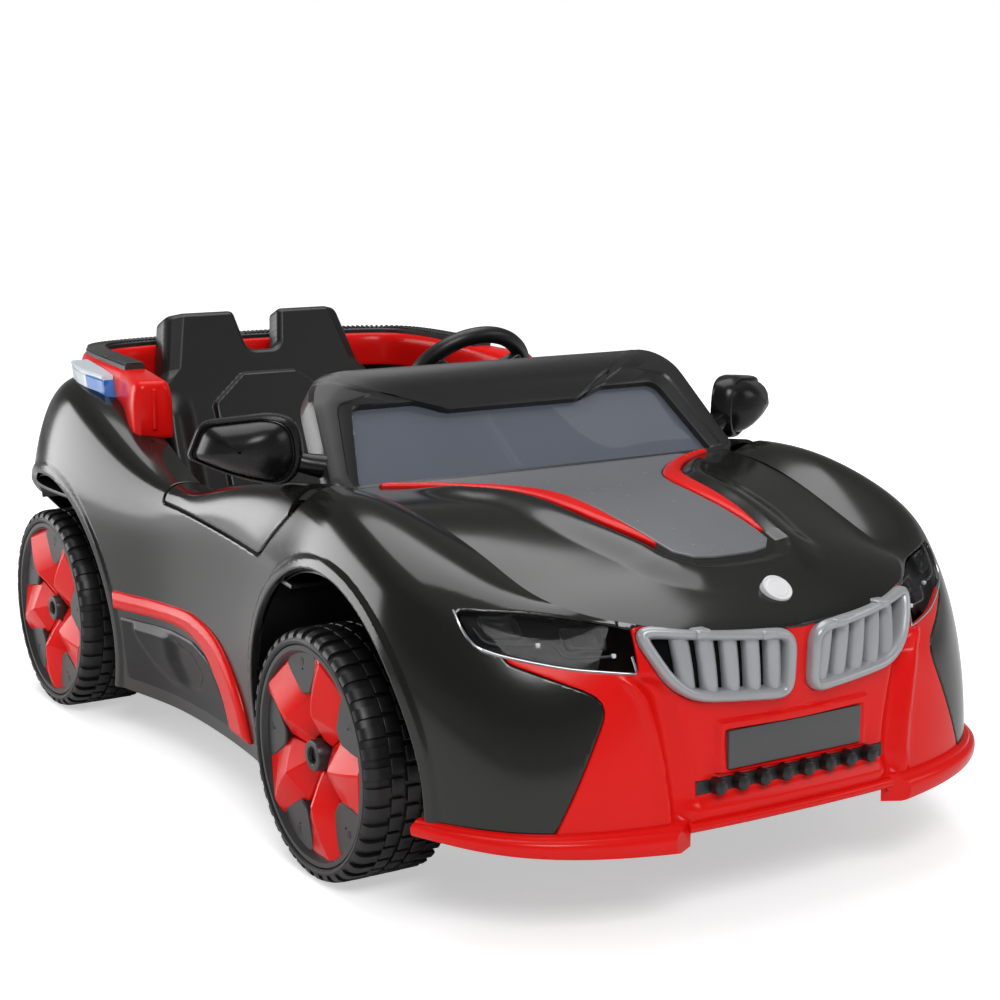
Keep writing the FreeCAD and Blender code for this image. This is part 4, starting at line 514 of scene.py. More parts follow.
def evenly(loop, count):
    """Points in even steps round a closed loop."""
    loop = np.concatenate([loop, loop[:1]]).astype(float)
    run = run_along(loop)
    where = np.linspace(0, run[-1], count, endpoint=False)
    return np.stack([np.interp(where, run, loop[:, k]) for k in range(loop.shape[1])], 1)


def smooth_line(points, count):
    """An open line through the points with rounded bends."""
    points = np.asarray(points, float)
    padded = np.concatenate([[2 * points[0] - points[1]], points, [2 * points[-1] - points[-2]]])
    result = []
    for t in np.linspace(0, len(points) - 1 - 1e-9, count):
        i, s = int(t), t - int(t)
        a, b, c, d = padded[i:i + 4]
        bend = 3 * b - a - 3 * c + d
        result.append(0.5 * (2 * b + (c - a) * s + (2 * a - 5 * b + 4 * c - d) * s ** 2 + bend * s ** 3))
    return np.array(result)


def tube(line, radius, sides=10, up=(0, 0, 1)):
    """A round bar along a line; radius may change along it."""
    line = np.asarray(line, float)
    radius = np.broadcast_to(np.asarray(radius, float), (len(line),))
    along = np.gradient(line, axis=0)
    along /= np.linalg.norm(along, axis=1)[:, None]
    side = np.cross(along, np.array(up, float))
    side /= np.maximum(np.linalg.norm(side, axis=1), 1e-9)[:, None]
    top = np.cross(side, along)
    turn = [2 * math.pi * k / sides for k in range(sides)]
    points = [
        spot + r * (math.cos(a) * s + math.sin(a) * t)
        for spot, r, s, t in zip(line, radius, side, top) for a in turn]
    return np.array(points), lattice(len(line), sides, round_cols=True) + backward(end_caps(len(line), sides))


def turned(profile, centre, side, up, axis, steps):
    """Points of a shape turned about an axis, from (radius, height along the axis) pairs."""
    points = []
    for k in range(steps):
        a = 2 * math.pi * k / steps
        way = math.cos(a) * side + math.sin(a) * up
        points += [centre + r * way + axis * h for r, h in profile]
    return np.array(points)


def lathe(profile, centre, sign, steps=96):
    """A turned piece of a wheel; the profile is (distance in from the wheel face, radius)."""
    face_middle = np.array([sign * WHEEL_FACE, *centre])
    points = turned([(r, along) for along, r in profile], face_middle, Y_WAY, Z_WAY, -sign * X_WAY, steps)
    faces = lattice(steps, len(profile), round_rows=True)
    return points, faces if sign > 0 else backward(faces)


def solid_block(lo, hi, bevel):
    """A box with rounded edges."""
    lo, hi = np.array(lo, float), np.array(hi, float)
    bm = bmesh.new()
    bmesh.ops.create_cube(bm, size=1)
    for v in bm.verts:
        v.co = Vector((lo + hi) / 2) + Vector(np.array(v.co) * (hi - lo))
    bmesh.ops.bevel(bm, geom=bm.edges[:], offset=bevel, segments=3, affect="EDGES", profile=0.5)
    bm.verts.index_update()
    points = np.array([v.co[:] for v in bm.verts])
    faces = [[v.index for v in f.verts] for f in bm.faces]
    bm.free()
    return points, faces


def copies_tree(name, one, look):
    """A node tree that puts a copy of one object on each point, turned as the point says."""
    tree = bpy.data.node_groups.new(name + "_copies", "GeometryNodeTree")
    socket(tree, "Geometry", "NodeSocketGeometry", "INPUT")
    size = socket(tree, "Copy Size", "NodeSocketFloat", "INPUT")
    socket(tree, "Geometry", "NodeSocketGeometry", "OUTPUT")
    given, result = tree.nodes.new("NodeGroupInput"), tree.nodes.new("NodeGroupOutput")
    info = node(tree, "GeometryNodeObjectInfo", Object=one)
    turn = node(tree, "GeometryNodeInputNamedAttribute", Name="turn")
    turn.data_type = "FLOAT_VECTOR"
    euler = tree.nodes.new("FunctionNodeEulerToRotation")
    copies = tree.nodes.new("GeometryNodeInstanceOnPoints")
    real = tree.nodes.new("GeometryNodeRealizeInstances")
    finish = node(tree, "GeometryNodeSetMaterial", Material=LOOK[look])
    for source, output, target, place in (
            (turn, "Attribute", euler, "Euler"), (euler, "Rotation", copies, "Rotation"),
            (given, "Geometry", copies, "Points"), (info, "Geometry", copies, "Instance"),
            (given, "Copy Size", copies, "Scale"), (copies, "Instances", real, "Geometry"),
            (real, "Geometry", finish, "Geometry"), (finish, "Geometry", result, "Geometry")):
        tree.links.new(source.outputs[output], target.inputs[place])
    return tree, size.identifier


def repeated(name, item, places, look, body, stands_for=(), sharp=35, copy_size=1.0):
    """Copies of one small mesh at many places, each given by a point and three angles."""
    one = in_scene(name + "_one", raw_mesh(name + "_seed", *item))
    spots = raw_mesh(name, [p for p, _ in places], [])
    turns = spots.attributes.new("turn", "FLOAT_VECTOR", "POINT")
    turns.data.foreach_set("vector", np.array([t for _, t in places], np.float32).ravel())
    copies = in_scene(name, spots)
    tree, size = copies_tree(name, one, look)
    modifier = copies.modifiers.new("copies", "NODES")
    modifier.node_group = tree
    modifier[size] = float(copy_size)
    bpy.context.view_layer.update()
    shown = copies.evaluated_get(bpy.context.evaluated_depsgraph_get())
    mesh = bpy.data.meshes.new_from_object(shown)
    copies.modifiers.clear()
    copies.data = mesh
    shaded(mesh, sharp)
    bpy.data.objects.remove(one)
    bpy.data.node_groups.remove(tree)
    return placed(copies, body, stands_for)


# The cage of the body skin, from the middle of the nose round to the middle of the tail

FLANK = [
    (-466, 337, 268, 320, 214, 308, 0.35, 92), (-400, 346, 298, 352, 216, 331, 0.20, 76),
    (-292, 351, 276, 391, 229, 360, 0.15, 60), (-190, 337, 279, 384, 241, 362, 0.26, 60),
    (-95, 319, 288, 363, 262, 356, 0.20, 60), (10, 312, 290, 346, 262, 340, 0.12, 60),
    (85, 311, 292, 322, 264, 314, 0.12, 60), (150, 314, 293, 324, 260, 318, 0.12, 60),
    (225, 329, 296, 347, 252, 339, 0.12, 60), (320, 347, 298, 394, 250, 374, 0.14, 60),
    (425, 355, 294, 424, 246, 402, 0.16, 60), (510, 344, 283, 422, 238, 406, 0.12, 76),
]
NOSE = [(0, -606, 0, -607, 277, 9), (90, -606, 85, -603, 279, 9),
        (195, -597, 164, -566, 288, 0), (288, -549, 204, -522, 299, 0)]
TAIL = [(318, 562, 228, 550, 410, 0), (200, 607, 150, 586, 414, 0),
        (95, 613, 75, 592, 414, 0), (0, 613, 0, 592, 414, 0)]
HOOD_LINE = [(-604, 280), (-588, 293), (-556, 306), (-512, 322), (-464, 336), (-398, 350), (-298, 362),
             (-190, 360)]
ROW_SHARES = (0.0, 0.24, 0.5, 0.74, 0.92, 1.0)
BELT, TUCK, NOSE_LEAN = 230, 12, 2.5
LIP_Z, TAIL_Z = 92, 76


def end_column(low_x, low_y, top_x, top_y, top_z, recess, foot):
    column = []
    for share in ROW_SHARES:
        lean = share ** NOSE_LEAN
        hollow = recess * math.sin(math.pi * min(1.0, share / ROW_SHARES[3]))
        x, y = low_x + (top_x - low_x) * lean, low_y + (top_y - low_y) * lean + hollow
        column.append((x, y, foot + (top_z - foot) * share))
    return column


def flank_column(y, half, crown_x, crown_z, rim_x, rim_z, draw, foot):
    return [
        (half - TUCK, y, foot), (half - TUCK * 0.2, y, (foot + BELT) / 2), (half + 1, y, BELT),
        (half - (half - crown_x) * draw, y, BELT + (crown_z - BELT) * 0.62),
        (crown_x + 10, y, crown_z + 5), (rim_x, y, rim_z)]


cage = [end_column(*row, LIP_Z) for row in NOSE] + [flank_column(*row) for row in FLANK]
cage += [end_column(*row, TAIL_Z) for row in TAIL]
SKIN = Skin(cage)
hood_cage = []
for number, (middle_y, middle_z) in enumerate(HOOD_LINE):
    ex, ey, ez = cage[number][-1]
    rise = middle_z - ez
    share = 0.67 if number == 0 else 1.0
    hood_cage.append([
        (ex, ey, ez), (ex * 0.7, ey + (middle_y - ey) * 0.45, ez + rise * 0.75),
        (ex * 0.36, ey + (middle_y - ey) * share, ez + rise * max(0.75, share)), (0, middle_y, middle_z)])
HOOD = Skin(hood_cage)
NOSE_SPAN = (0.0, 0.42, 0.0, 1.0)
SIDE_SPAN = (0.05, 0.92, 0.0, 1.0)


def on_nose(flat):
    """Points given as (x, z, height above the skin), laid on the nose; x may be negative."""
    flat = np.asarray(flat, float)
    sign = np.where(flat[:, 0] < 0, -1, 1)
    u, v = SKIN.find([0, 2], np.stack([np.abs(flat[:, 0]), flat[:, 1]], 1), NOSE_SPAN)
    p = SKIN.at(u, v) + SKIN.normal(u, v) * flat[:, 2:3]
    p[:, 0] *= sign
    return p


def smoothstep(a, b, x):
    t = np.clip((x - a) / (b - a), 0, 1)
    return t * t * (3 - 2 * t)


def xz(p):
    return np.stack([np.abs(p[:, 0]), p[:, 2]], 1)


def yz(p):
    return p[:, 1:3]


def plan(p):
    return np.stack([np.abs(p[:, 0]), p[:, 1]], 1)


LAMP = [(163, 247), (218, 253), (264, 263), (283, 270), (288, 299), (226, 296), (162, 285)]
LAMP_SHAPE = rounded(LAMP, (6, 20, 16, 14, 8, 20, 6))
GRILLE = [(9, 209), (134, 220), (168, 289), (9, 276)]
GRILLE_SHAPE = rounded(GRILLE, (22, 36, 28, 20), 8)
BUMPER_SHAPE = rounded(
    [(-60, 20), (246, 20), (246, 106), (190, 226), (262, 257), (264, 266), (218, 253), (163, 247), (162, 285),
     (162, 340), (-60, 340)],
    (1, 1, 4, 22, 6, 2, 20, 6, 6, 1, 1))
DOOR_SHAPE = rounded([(-208, 440), (-208, 362), (-128, 289), (143, 301), (151, 440)], (1, 16, 10, 6, 1))
FRONT_AXLE, REAR_AXLE, HUB_Z = -292, 425, 125
FRONT_ARCH, REAR_ARCH = 181, 172
# behind this y the outlines of the nose, which are drawn from the front, don't count
NOSE_END, FAR_OFF = -380, 900
# the tail meets the sides at a seam
SIDE_END, SEAM_Y, TAIL_START = 539.6, 540, 540.4


def arch_distance(p):
    front = np.hypot(p[:, 1] - FRONT_AXLE, p[:, 2] - HUB_Z) - FRONT_ARCH
    rear = np.hypot(p[:, 1] - REAR_AXLE, p[:, 2] - HUB_Z) - REAR_ARCH
    return np.minimum(front, rear)


def side_field(p):
    lip = np.maximum(p[:, 2] - 108, p[:, 1] + 461)
    behind = FAR_OFF * (p[:, 1] > NOSE_END)
    return np.minimum.reduce([
        -inside(xz(p), BUMPER_SHAPE) - 0.4 + behind, -inside(xz(p), LAMP_SHAPE) - 0.4 + behind,
        -inside(yz(p), DOOR_SHAPE) - 0.2, arch_distance(p), SIDE_END - p[:, 1], lip])


FLANGE_RISE, FLANGE_INNER, FLANGE_OUTER = 2.6, 9.0, 15.0


def side_relief(p):
    """The rolled flange round each arch."""
    return FLANGE_RISE * (1 - smoothstep(FLANGE_INNER, FLANGE_OUTER, arch_distance(p)))


side = panel(
    SKIN, SIDE_SPAN, (380, 84), side_field, radius=1.6, depth=4, relief=side_relief,
    lines=(FLANGE_INNER, FLANGE_OUTER))
both_sides("side", side, "body", "body_gloss", "body_side")
DOOR_GAP = 2.6
door = panel(
    SKIN, (0.36, 0.66, 0.3, 1.0), (150, 60), within(yz, DOOR_SHAPE, DOOR_GAP), radius=2.2, depth=4)
hinge_arm = together(
    solid_block((278, -222, 338), (286, -156, 350), 2), solid_block((280, -168, 338), (296, -156, 350), 2))
hinge_eye = tube([(285, -222, 338), (285, -222, 350)], 9, 24, up=(0, 1, 0))
door = together(door, hinge_arm, hinge_eye)
piece("door_panel_left", *door, "body", "door_left", "body_gloss", ["door_left"])
piece("door_panel_right", *flipped(*door), "body", "door_right", "body_gloss", ["door_right"])

# Dark shells in the wheel arches

LINER_STEPS = 49


def arch_liner(axle, radius, first, last, inner_half):
    """A shell inside a wheel arch, flanged behind the skin, between two angles measured from the back."""
    u, v = np.meshgrid(np.linspace(0.1, 0.95, 240), np.linspace(0, 1, 80), indexing="ij")
    skin = SKIN.at(u.ravel(), v.ravel())
    angles = np.radians(np.linspace(first, last, LINER_STEPS))

    def skin_half(r):
        ring = np.stack([axle + r * np.cos(angles), HUB_Z + r * np.sin(angles)], 1)
        half = [skin[np.argmin(np.sum((skin[:, 1:] - spot) ** 2, 1)), 0] for spot in ring]
        return np.convolve(np.pad(half, 3, "edge"), np.ones(7) / 7, "valid")

    wall, flange = radius + 2, radius + 15
    inner = np.full(LINER_STEPS, float(inner_half))
    rim, top = skin_half(radius) - 6, skin_half(flange) - 7
    section = ((inner, radius), (rim, radius), (top, flange), (top - 2, flange), (rim - 2, wall),
               (inner, wall))
    points = [
        (x, axle + r * math.cos(a), HUB_Z + r * math.sin(a))
        for half, r in section for x, a in zip(half, angles)]
    return np.array(points), lattice(len(section), LINER_STEPS, round_rows=True, back=True)


front_liner = arch_liner(FRONT_AXLE, FRONT_ARCH - 4, 0, 180, 176)
rear_liner = arch_liner(REAR_AXLE, REAR_ARCH - 4, 46, 180, 206)
piece("arch_liners", *whole(together(front_liner, rear_liner)), "vent", "car", "black_matte")

# Tail, with a dark band behind its seam

TAIL_RECESS_HALF, TAIL_RECESS_TALL, TAIL_RECESS_Z, TAIL_LINE_Z = 96, 62, 226, 158
TAIL_RECESS_DEEP, TAIL_LINE_DEEP = 3.5, 3


def tail_relief(p):
    """A bare plate recess over a line that parts the foot of the tail like a bumper."""
    x, z = np.abs(p[:, 0]), p[:, 2]
    away = np.maximum(x - TAIL_RECESS_HALF, np.abs(z - TAIL_RECESS_Z) - TAIL_RECESS_TALL / 2)
    recess = -TAIL_RECESS_DEEP * (1 - smoothstep(-4, 3, away))
    line = -TAIL_LINE_DEEP * np.exp(-((z - TAIL_LINE_Z - 6e-4 * x ** 2) / 5) ** 2)
    return np.minimum(recess, line)


tail = panel(
    SKIN, (0.86, 1.0, 0.0, 1.0), (120, 120), lambda p: np.minimum(p[:, 1] - TAIL_START, arch_distance(p)),
    radius=1.6, relief=tail_relief)
seam = panel(
    SKIN, (0.8, 0.97, 0.0, 1.0), (60, 60),
    lambda p: np.minimum(12 - np.abs(p[:, 1] - SEAM_Y), arch_distance(p) - 3),
    radius=0.3, depth=6.2, relief=even_lift(-4.6))
piece("seam_band", *whole(seam), "black", "car", "black_matte")
piece("tail_panel", *whole(tail), "body", "car", "body_gloss", ["rear_bumper"])

# Front bumper: creased beside the grilles, framed round the plate, with a winglet under each corner

CREASE = np.array([(105, 140), (130, 141), (162, 145), (196, 152), (226, 160), (244, 172)])
PLATE_HALF, PLATE_LOW, PLATE_TOP = 79, 151, 187
MIDDLE_HALF = 118
SCOOP_DEEP, CREASE_RISE, PLATE_RIM_RISE, SHELF_RISE, SHELF_Z = 11, 4, 5, 5, 116


def bumper_field(p):
    flat = xz(p)
    foot = p[:, 2] - np.where(flat[:, 0] < MIDDLE_HALF, 100, 93)
    return np.minimum.reduce([
        inside(flat, BUMPER_SHAPE) - 0.3, -inside(flat, GRILLE_SHAPE) - 0.3,
        -inside(flat, LAMP_SHAPE) - 0.4, foot])


def bumper_relief(p):
    x, z = np.abs(p[:, 0]), p[:, 2]
    off = x - np.interp(z, CREASE[:, 0], CREASE[:, 1])
    window = smoothstep(100, 116, z) * (1 - smoothstep(236, 248, z))
    scoop = -SCOOP_DEEP * smoothstep(-1, 12, -off) * (1 - smoothstep(12, 34, -off)) * window
    edge = CREASE_RISE * np.exp(-((off - 3) / 5) ** 2) * window
    away = np.maximum(x - PLATE_HALF, np.maximum(PLATE_LOW - z, z - PLATE_TOP))
    surround = PLATE_RIM_RISE * smoothstep(0, 2, away) * (1 - smoothstep(8, 11, away))
    shelf = SHELF_RISE * np.exp(-((z - SHELF_Z) / 7) ** 2) * (1 - smoothstep(112, 134, x))
    return scoop + edge + surround * (z > 147) + shelf


bumper = panel(
    SKIN, (0.0, 0.34, 0.0, 1.0), (300, 96), bumper_field, radius=1.6, depth=4, relief=bumper_relief)

# The winglet follows the foot of the skin; its inner end is slanted and it rises towards the wheel
WING = [(-6, 1.0), (2.5, 1.0), (4.5, 0.95), (5.5, 0.84), (8.6, 0.78), (10.6, 0.66), (11.2, 0.48), (10.6, 0.2),
        (9, 0.05), (6, 0.0), (-6, 0.0)]
WING_LOW, WING_TOP = (83, 97), (109, 112)
WING_ROWS = 61
foot_line = SKIN.at(np.linspace(0.0, 0.3, 400), np.zeros(400))
foot_run = run_along(foot_line)
along = np.gradient(foot_line, axis=0)
outward = np.stack([along[:, 1], -along[:, 0], np.zeros(len(along))], 1)
outward /= np.linalg.norm(outward, axis=1)[:, None]
wing_from, wing_to = np.interp(116, foot_line[:, 0], foot_run), np.interp(-462, foot_line[:, 1], foot_run)
wing_points = []
for t in np.linspace(0, 1, WING_ROWS):
    low = WING_LOW[0] + (WING_LOW[1] - WING_LOW[0]) * t
    top = WING_TOP[0] + (WING_TOP[1] - WING_TOP[0]) * t
    for out, share in WING:
        start = wing_from + 24 * (out + 6) / 17
        run = start + (wing_to - start) * t
        base = np.array([np.interp(run, foot_run, foot_line[:, k]) for k in range(3)])
        way = np.array([np.interp(run, foot_run, outward[:, k]) for k in range(3)])
        wing_points.append(base + way * out + Z_WAY * (low + (top - low) * share - LIP_Z))
wing_faces = lattice(WING_ROWS, len(WING), round_cols=True, back=True) + end_caps(WING_ROWS, len(WING))
half_bumper = together(bumper, (wing_points, wing_faces))
roll = tube(on_nose([(x, 102.5, 1.2) for x in np.linspace(-MIDDLE_HALF - 4, MIDDLE_HALF + 4, 60)]), 4.6, 12)
piece("bumper", *together(whole(half_bumper), roll), "red", "car", "red_gloss", ["front_bumper"])

# Row of studs with a black strip painted behind them as their shadow, and the blank plate

# painted shadow: a thin black strip just proud of the skin behind the studs stands in for the shade that they
# cast
STUD_SHADOW = [(130, -1), (131.5, 1.0), (143, 1.0), (144.5, -1)]
shadow_x = np.linspace(-112, 112, 57)
shadow_points = np.concatenate([on_nose([(x, z, high) for x in shadow_x]) for z, high in STUD_SHADOW])
piece("stud_slot", shadow_points, lattice(len(STUD_SHADOW), len(shadow_x)), "black", "car", "black_matte")
STUD = [(0.0, -3), (5.0, -2.6), (6.8, -1.4), (7.6, 1), (7.9, 11)]
STUD_STEPS, STUD_COUNT, STUD_PITCH = 20, 8, 26
stud_points = turned(STUD, np.zeros(3), X_WAY, Z_WAY, Y_WAY, STUD_STEPS)
stud = stud_points, lattice(STUD_STEPS, len(STUD), round_rows=True, back=True)
stud_x = [(i - (STUD_COUNT - 1) / 2) * STUD_PITCH for i in range(STUD_COUNT)]
stud_places = [((x, -608, 137.5), (0, 0, 0)) for x in stud_x]
repeated("studs", stud, stud_places, "black", "car", ["intake_studs"])
plate = solid_block((-PLATE_HALF, -604, PLATE_LOW), (PLATE_HALF, -596, PLATE_TOP), 1.2)
piece("plate", *plate, "plate", "car", "plate_grey", ["number_plate"])

# Badge: a plain white disc with a raised rim

BADGE = [(0.0, -0.6), (9.0, -0.6), (9.6, -0.1), (10.4, -0.6), (12.6, -0.6), (13.4, 0.2), (14.6, 0), (15, -1),
         (15, -9)]
BADGE_STEPS = 64
badge_up, badge_axis = slope_ways(math.radians(38))
badge_points = turned(BADGE, np.array([0, -572, 305]), X_WAY, badge_up, badge_axis, BADGE_STEPS)
badge_faces = lattice(BADGE_STEPS, len(BADGE), round_rows=True)
piece("badge_disc", badge_points, badge_faces, "badge", "car", "badge_white", ["badge"])

# Grilles: a thick rounded frame, a dark back and broad upright vanes

GRILLE_SECTION = [(0, -4), (0, 3), (0.07, 6), (0.22, 8.8), (0.42, 10), (0.58, 10), (0.78, 8.8), (0.93, 6),
                  (1, 3), (1, -7)]
VANE_DOME = [(t, -5.5 + 10 * math.sqrt(1 - 0.82 * t * t)) for t in np.linspace(-1, 1, 11)]
VANE = [(-1, -6.5), *VANE_DOME, (1, -6.5)]
VANE_COUNT, VANE_HALF, VANE_LEAN = 5, 8.2, 0.09
VANE_ROWS = np.linspace(210, 290, 17)
BACK_SHARES, BACK_STEPS = (0.02, 0.35, 0.7, 1.0), 80
outer_loop = evenly(GRILLE_SHAPE, 120)
grille = ring_moulding(outer_loop, drawn_in(outer_loop, 10.5), GRILLE_SECTION, on_nose)
vanes, tabs = [], []
for i in range(VANE_COUNT):
    middle = 18 + 114 * (i + 0.5) / VANE_COUNT
    rows = np.array([
        (middle + (z - 240) * VANE_LEAN + t * VANE_HALF, z, high) for z in VANE_ROWS for t, high in VANE])
    keep = inside(rows[:, :2], drawn_in(GRILLE_SHAPE, 5))
    vanes.append((on_nose(rows), [f for f in lattice(len(VANE_ROWS), len(VANE)) if min(keep[f]) > -3]))
for x, z in ((42, 273), (106, 279)):
    spot = on_nose([(x, z, 3)])[0]
    tabs.append(solid_block(spot - (8, 8, 3), spot + (8, 8, 5), 2.4))
back_flat = evenly(drawn_in(GRILLE_SHAPE, 3), BACK_STEPS)
middle = back_flat.mean(0)
back_points = on_nose([(*(middle + (p - middle) * s), -6.5) for s in BACK_SHARES for p in back_flat])
back_faces = lattice(len(BACK_SHARES), BACK_STEPS, round_cols=True)
both_sides("grille_frame", together(grille, *vanes, *tabs), "silver", "grille_silver", "grille")
both_sides("grille_back", (back_points, back_faces), "lamp_black", "black_matte")

LIP = rounded(
    [(-30, 274), (9, 275), (152, 288), (164, 284), (172, 286), (172, 330), (-30, 330)], (1, 8, 4, 2, 2, 1, 1))
hood_lip = panel(
    SKIN, (0.0, 0.3, 0.45, 1.0), (90, 70), lambda p: inside(xz(p), LIP) - FAR_OFF * (p[:, 1] > NOSE_END),
    radius=1.4, depth=0.3, relief=even_lift(1.4))
piece("hood_lip", *whole(hood_lip), "body", "car", "body_gloss")

# Headlights: dark housing, two modules with light guides, bright lower trim, clear cover

LAMP_SPAN, LAMP_STEPS = (0.08, 0.36, 0.4, 1.0), (90, 50)
GUIDES = [[(279, 286), (273, 275), (256, 272.5), (235, 272.5)],
          [(223, 272), (217, 263), (200, 262.5), (180, 263.5)]]
MODULES = [(258, 288, 15, 9), (199, 278, 16, 9)]
MODULE_LOOPS = [(1.0, -9), (1.0, -5), (0.9, -4), (0.8, -4.6), (0.62, -7.5), (0.4, -6.4), (0.05, -5.4)]
MODULE_STEPS = 32
LAMP_TRIM = [(166, 262), (165, 249), (170, 247.5), (190, 249.5), (218, 252.5), (246, 258), (270, 264.5),
             (282, 272), (287, 285), (288, 299)]


def nose_wire(bends, count, height, radius):
    """A thin bar laid on the nose through a few bends."""
    return tube(on_nose([(x, z, height) for x, z in smooth_line(bends, count)]), radius, 8, up=(0, 1, 0.2))


housing = panel(
    SKIN, LAMP_SPAN, LAMP_STEPS, within(xz, LAMP_SHAPE, 0.6), radius=0.5, depth=4, relief=even_lift(-9.0))
cover = panel(SKIN, LAMP_SPAN, LAMP_STEPS, within(xz, LAMP_SHAPE, 0.8), radius=0.8, depth=1.6)
guides = [nose_wire(bends, 40, -3.5, 1.1) for bends in GUIDES]
modules, dots = [], []
for bends in GUIDES:
    spot = on_nose([(*bends[-1], -3)])[0]
    dots.append(solid_block(spot - 1.9, spot + 1.9, 1.0))
for x, z, wide, tall in MODULES:
    corners = [(x - wide, z - tall), (x + wide, z - tall), (x + wide, z + tall), (x - wide, z + tall)]
    loop = evenly(rounded(corners, 4), MODULE_STEPS)
    middle = np.array([x, z])
    rows = [(*(middle + (p - middle) * s), high) for s, high in MODULE_LOOPS for p in loop]
    modules.append((on_nose(rows), lattice(len(MODULE_LOOPS), MODULE_STEPS, round_cols=True)))
both_sides("lamp_housing", housing, "lamp_black", "black_matte", "headlight")
both_sides("lamp_modules", together(*modules), "lamp_grey", "black_matte")
both_sides("lamp_guides", together(*guides), "guide", "lens_clear")
both_sides("lamp_dots", together(*dots), "white_lens", "lens_clear")
both_sides("lamp_trim", nose_wire(LAMP_TRIM, 90, 0.6, 1.15), "chrome", "grille_silver")
both_sides("lamp_cover", cover, "lens", "lens_clear", "headlight_lens")

# Hood with its raised shoulders, grey insert and red stripes

STRIPE_OUT = [(222, -190), (182, -210), (146, -238), (112, -276), (97, -314), (90, -360),
              (82, -410), (66, -470)]
STRIPE_IN = [(200, -190), (157, -213), (119, -242), (84, -281), (70, -318), (66, -362),
             (65, -410), (62, -466)]
stripe_out, stripe_in = smooth_line(STRIPE_OUT, 60), smooth_line(STRIPE_IN, 60)
STRIPE_SHAPE = np.concatenate([stripe_out, stripe_in[::-1]])
INSERT_SHAPE = np.concatenate([
    stripe_in - (1.5, 0), [(58, -486), (44, -501), (24, -506), (-40, -508), (-40, -190)]])
HOLLOW_SHAPE = np.concatenate([
    stripe_out, [(64, -488), (56, -500), (44, -510), (24, -515), (-40, -518), (-40, -180), (222, -180)]])


def hood_relief(p):
    """A rounded ridge that runs along the outer edge of the stripes and round the front of the insert."""
    d = -inside(plan(p), HOLLOW_SHAPE)
    x = np.abs(p[:, 0])
    tall = (3.5 + 3.5 * smoothstep(20, 110, x)) * (1 - smoothstep(150, 200, x))
    return tall * smoothstep(0, 15, d) * (1 - smoothstep(15, 52, d))


hood = panel(HOOD, (0, 1, 0, 1), (200, 104), even_lift(50.0), radius=0.5, depth=4, relief=hood_relief)
piece("hood_panel", *whole(hood), "body", "car", "body_gloss", ["hood"])
insert = panel(
    HOOD, (0.2, 1, 0.0, 1), (130, 100), within(plan, INSERT_SHAPE), radius=1.2, depth=2,
    relief=even_lift(2.2))
piece("insert_panel", *whole(insert), "hood_grey", "car", "hood_grey", ["hood_insert"])
stripe = panel(
    HOOD, (0.2, 1, 0.0, 1), (220, 220), within(plan, STRIPE_SHAPE), radius=0.8, depth=1.5,
    relief=domed(plan, STRIPE_SHAPE, 2.0, 3.2, 6), lines=(2.0, 4.0))
piece("stripes", *whole(stripe), "red", "car", "red_gloss", ["hood_stripes"])

# Side blades and the dark vent panels under them

BLADE = [(246, 182), (120, 187), (60, 188), (0, 176), (-40, 150), (-68, 115), (-84, 74),
         (-26, 74), (-17, 103), (2, 128), (28, 149), (68, 162), (120, 165), (246, 160)]
BLADE_SHAPE = rounded(np.concatenate([smooth_line(BLADE[:7], 60), smooth_line(BLADE[7:], 60)]), 2, 3)
VENT = rounded([(-26, 76), (236, 76), (236, 152), (120, 157), (66, 155), (28, 144), (0, 124), (-18, 99)], 6)
LOUVRE = rounded(
    [(58, 98), (126, 93), (166, 106), (200, 132), (208, 148), (124, 150), (70, 144), (38, 122)], 9)


def vent_relief(p):
    """A flat panel with a scoop that starts flush at the front and ends in a raised lip."""
    d = inside(yz(p), LOUVRE)
    line = np.interp(p[:, 2], [93, 123, 150], [104, 136, 142])
    hollow = smoothstep(0, 34, line - p[:, 1]) * smoothstep(0, 6, d)
    lip = smoothstep(-2, 5, d) * (1 - hollow) * smoothstep(40, 140, p[:, 1])
    return 0.6 + 1.8 * smoothstep(0, 3, inside(yz(p), VENT)) + 3.5 * lip - 1.9 * hollow


blade = panel(
    SKIN, (0.3, 0.75, 0.0, 0.7), (230, 90), within(yz, BLADE_SHAPE), radius=0.8, depth=0.2,
    relief=domed(yz, BLADE_SHAPE, 0.5, 6.5, 9), lines=(3.0, 6.0, 9.0))
vent = panel(
    SKIN, (0.3, 0.75, 0.0, 0.5), (220, 80), within(yz, VENT), radius=1.0, depth=0.3, relief=vent_relief)
both_sides("blade", blade, "red", "red_gloss", "side_blade")
piece("vent_panels", *whole(vent), "vent", "car", "black_matte", ["side_vents"])

# Windscreen: sloping frame with a stepped face and a dropped visor, tinted glass

screen_up, screen_out = slope_ways(math.radians(45.5))
screen_foot = np.array([0, -187.0, 362.0])


def on_screen(flat):
    """Points given as (across, up the slope, height), with a deeper return along the posts."""
    flat = np.array(flat, float)
    post = smoothstep(195, 225, np.abs(flat[:, 0])) * smoothstep(34, 60, flat[:, 1])
    flat[:, 2] -= 13 * post * smoothstep(10, 22, -flat[:, 2])
    across, up, out = flat.T
    return screen_foot + np.outer(across, X_WAY) + np.outer(up, screen_up) + np.outer(out, screen_out)


frame_outer = rounded(
    [(-249, -8), (249, -8), (261, 8), (236, 155), (-236, 155), (-261, 8)], (4, 4, 6, 44, 44, 6), 14)
frame_inner = rounded(
    [(-228, 5), (228, 5), (199, 105), (112, 105), (92, 91), (-92, 91), (-112, 105), (-199, 105)],
    (4, 4, 13, 9, 9, 9, 9, 13), 7)


